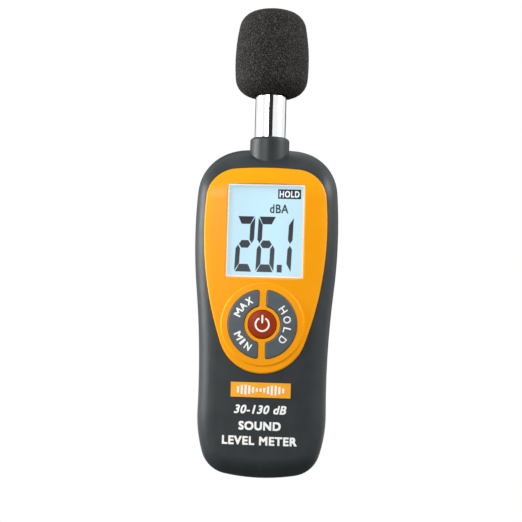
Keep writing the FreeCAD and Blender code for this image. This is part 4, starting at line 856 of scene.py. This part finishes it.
ROOM_LIGHT = 0.4                 # share of the surround's white that lights the meter
MIRRORED_BELOW = 0.12            # share that polished faces mirror from below
MIRROR_RISE = (-0.5, -0.1)       # upward parts of the direction, between which it grows to the whole
studio_low, studio_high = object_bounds()
studio_middle = (studio_low + studio_high) / 2

scene.view_settings.view_transform = "Standard"
world = bpy.data.worlds.new("white_studio")
world.use_nodes = True
sky = world.node_tree
seen = add_node(sky, "ShaderNodeLightPath").outputs
# White behind the meter and in reflections from level and above; darker in reflections from below
direction = add_node(sky, "ShaderNodeTexCoord").outputs["Generated"]
rise = add_node(sky, "ShaderNodeSeparateXYZ", {"Vector": direction}).outputs["Z"]
mirrored = add_node(sky, "ShaderNodeMapRange", {"Value": rise, "From Min": MIRROR_RISE[0],
                                                "From Max": MIRROR_RISE[1], "To Min": MIRRORED_BELOW})
lighting = add_node(sky, "ShaderNodeMapRange", {"Value": seen["Is Glossy Ray"], "To Min": ROOM_LIGHT,
                                                "To Max": mirrored.outputs[0]})
strength = add_node(sky, "ShaderNodeMapRange",
                    {"Value": seen["Is Camera Ray"], "To Min": lighting.outputs[0]})
sky.links.new(strength.outputs[0], sky.nodes["Background"].inputs["Strength"])
sky.nodes["Background"].inputs["Color"].default_value = hex_colour("#FFFFFF")
scene.world = world

# Black card: matt, and seen only in the chrome
black_flag = new_material("black_flag", "#0C0C0D", 0.9)[0]


def add_flag(name, direction, distance, width, height):
    """an upright dark card that only reflections see, so many degrees round from the front to the right"""
    turn = math.radians(direction)
    bm = bmesh.new()
    bmesh.ops.create_grid(bm, x_segments=1, y_segments=1, size=0.5)
    mesh = bpy.data.meshes.new(name)
    bm.to_mesh(mesh)
    bm.free()
    mesh.materials.append(black_flag)
    card = bpy.data.objects.new(name, mesh)
    card.scale = (width, height, 1)
    card.rotation_euler = (math.pi / 2, 0, turn)
    card.location = (distance * math.sin(turn), -distance * math.cos(turn), studio_low.z + height / 2)
    card.visible_camera = False
    card.visible_shadow = False
    card.visible_diffuse = False
    scene.collection.objects.link(card)


# Distances, widths and heights in metres
add_flag("front_flag", 4, 0.75, 0.42, 0.8)
add_flag("left_flag", -157, 0.6, 0.36, 0.8)
add_flag("right_flag", 157, 0.6, 0.36, 0.8)


def add_softbox(name, place, size, energy):
    """a square soft light aimed at the meter's middle: place and size in metres, energy in watts"""
    light = bpy.data.lights.new(name, "AREA")
    light.energy = energy
    light.size = size
    lamp = bpy.data.objects.new(name, light)
    lamp.location = place
    aim = studio_middle - Vector(place)
    lamp.rotation_euler = aim.to_track_quat("-Z", "Y").to_euler()
    scene.collection.objects.link(lamp)


add_softbox("key_light", (-0.3, -0.68, 0.35), 0.3, 2.7)
add_softbox("left_light", (-0.64, -0.08, 0.2), 0.4, 6.0)
add_softbox("right_light", (0.5, -0.12, 0.4), 0.3, 3.0)
add_softbox("back_light", (0.3, 0.7, 0.5), 0.4, 2.5)

CAMERA_AZIMUTH = math.radians(3.8)
CAMERA_ELEVATION = math.radians(-2.5)
CAMERA_ROLL = math.radians(1.64)
CAMERA_DISTANCE = 429.2 * MM
CAMERA_TARGET = Vector((-2.37, 0, 91)) * MM
CAMERA_SENSOR = 36               # mm, as is the lens
CAMERA_LENS = 68.97
camera_data = bpy.data.cameras.new("camera")
camera_data.sensor_width = CAMERA_SENSOR
camera_data.lens = CAMERA_LENS
camera_data.clip_start = 0.01
camera = bpy.data.objects.new("camera", camera_data)
back = Vector((math.sin(CAMERA_AZIMUTH) * math.cos(CAMERA_ELEVATION),
               -math.cos(CAMERA_AZIMUTH) * math.cos(CAMERA_ELEVATION), math.sin(CAMERA_ELEVATION)))
camera.location = CAMERA_TARGET + back * CAMERA_DISTANCE
roll = Matrix.Rotation(CAMERA_ROLL, 4, "Z").to_quaternion()
camera.rotation_euler = (back.to_track_quat("Z", "Y") @ roll).to_euler()
scene.collection.objects.link(camera)
scene.camera = camera
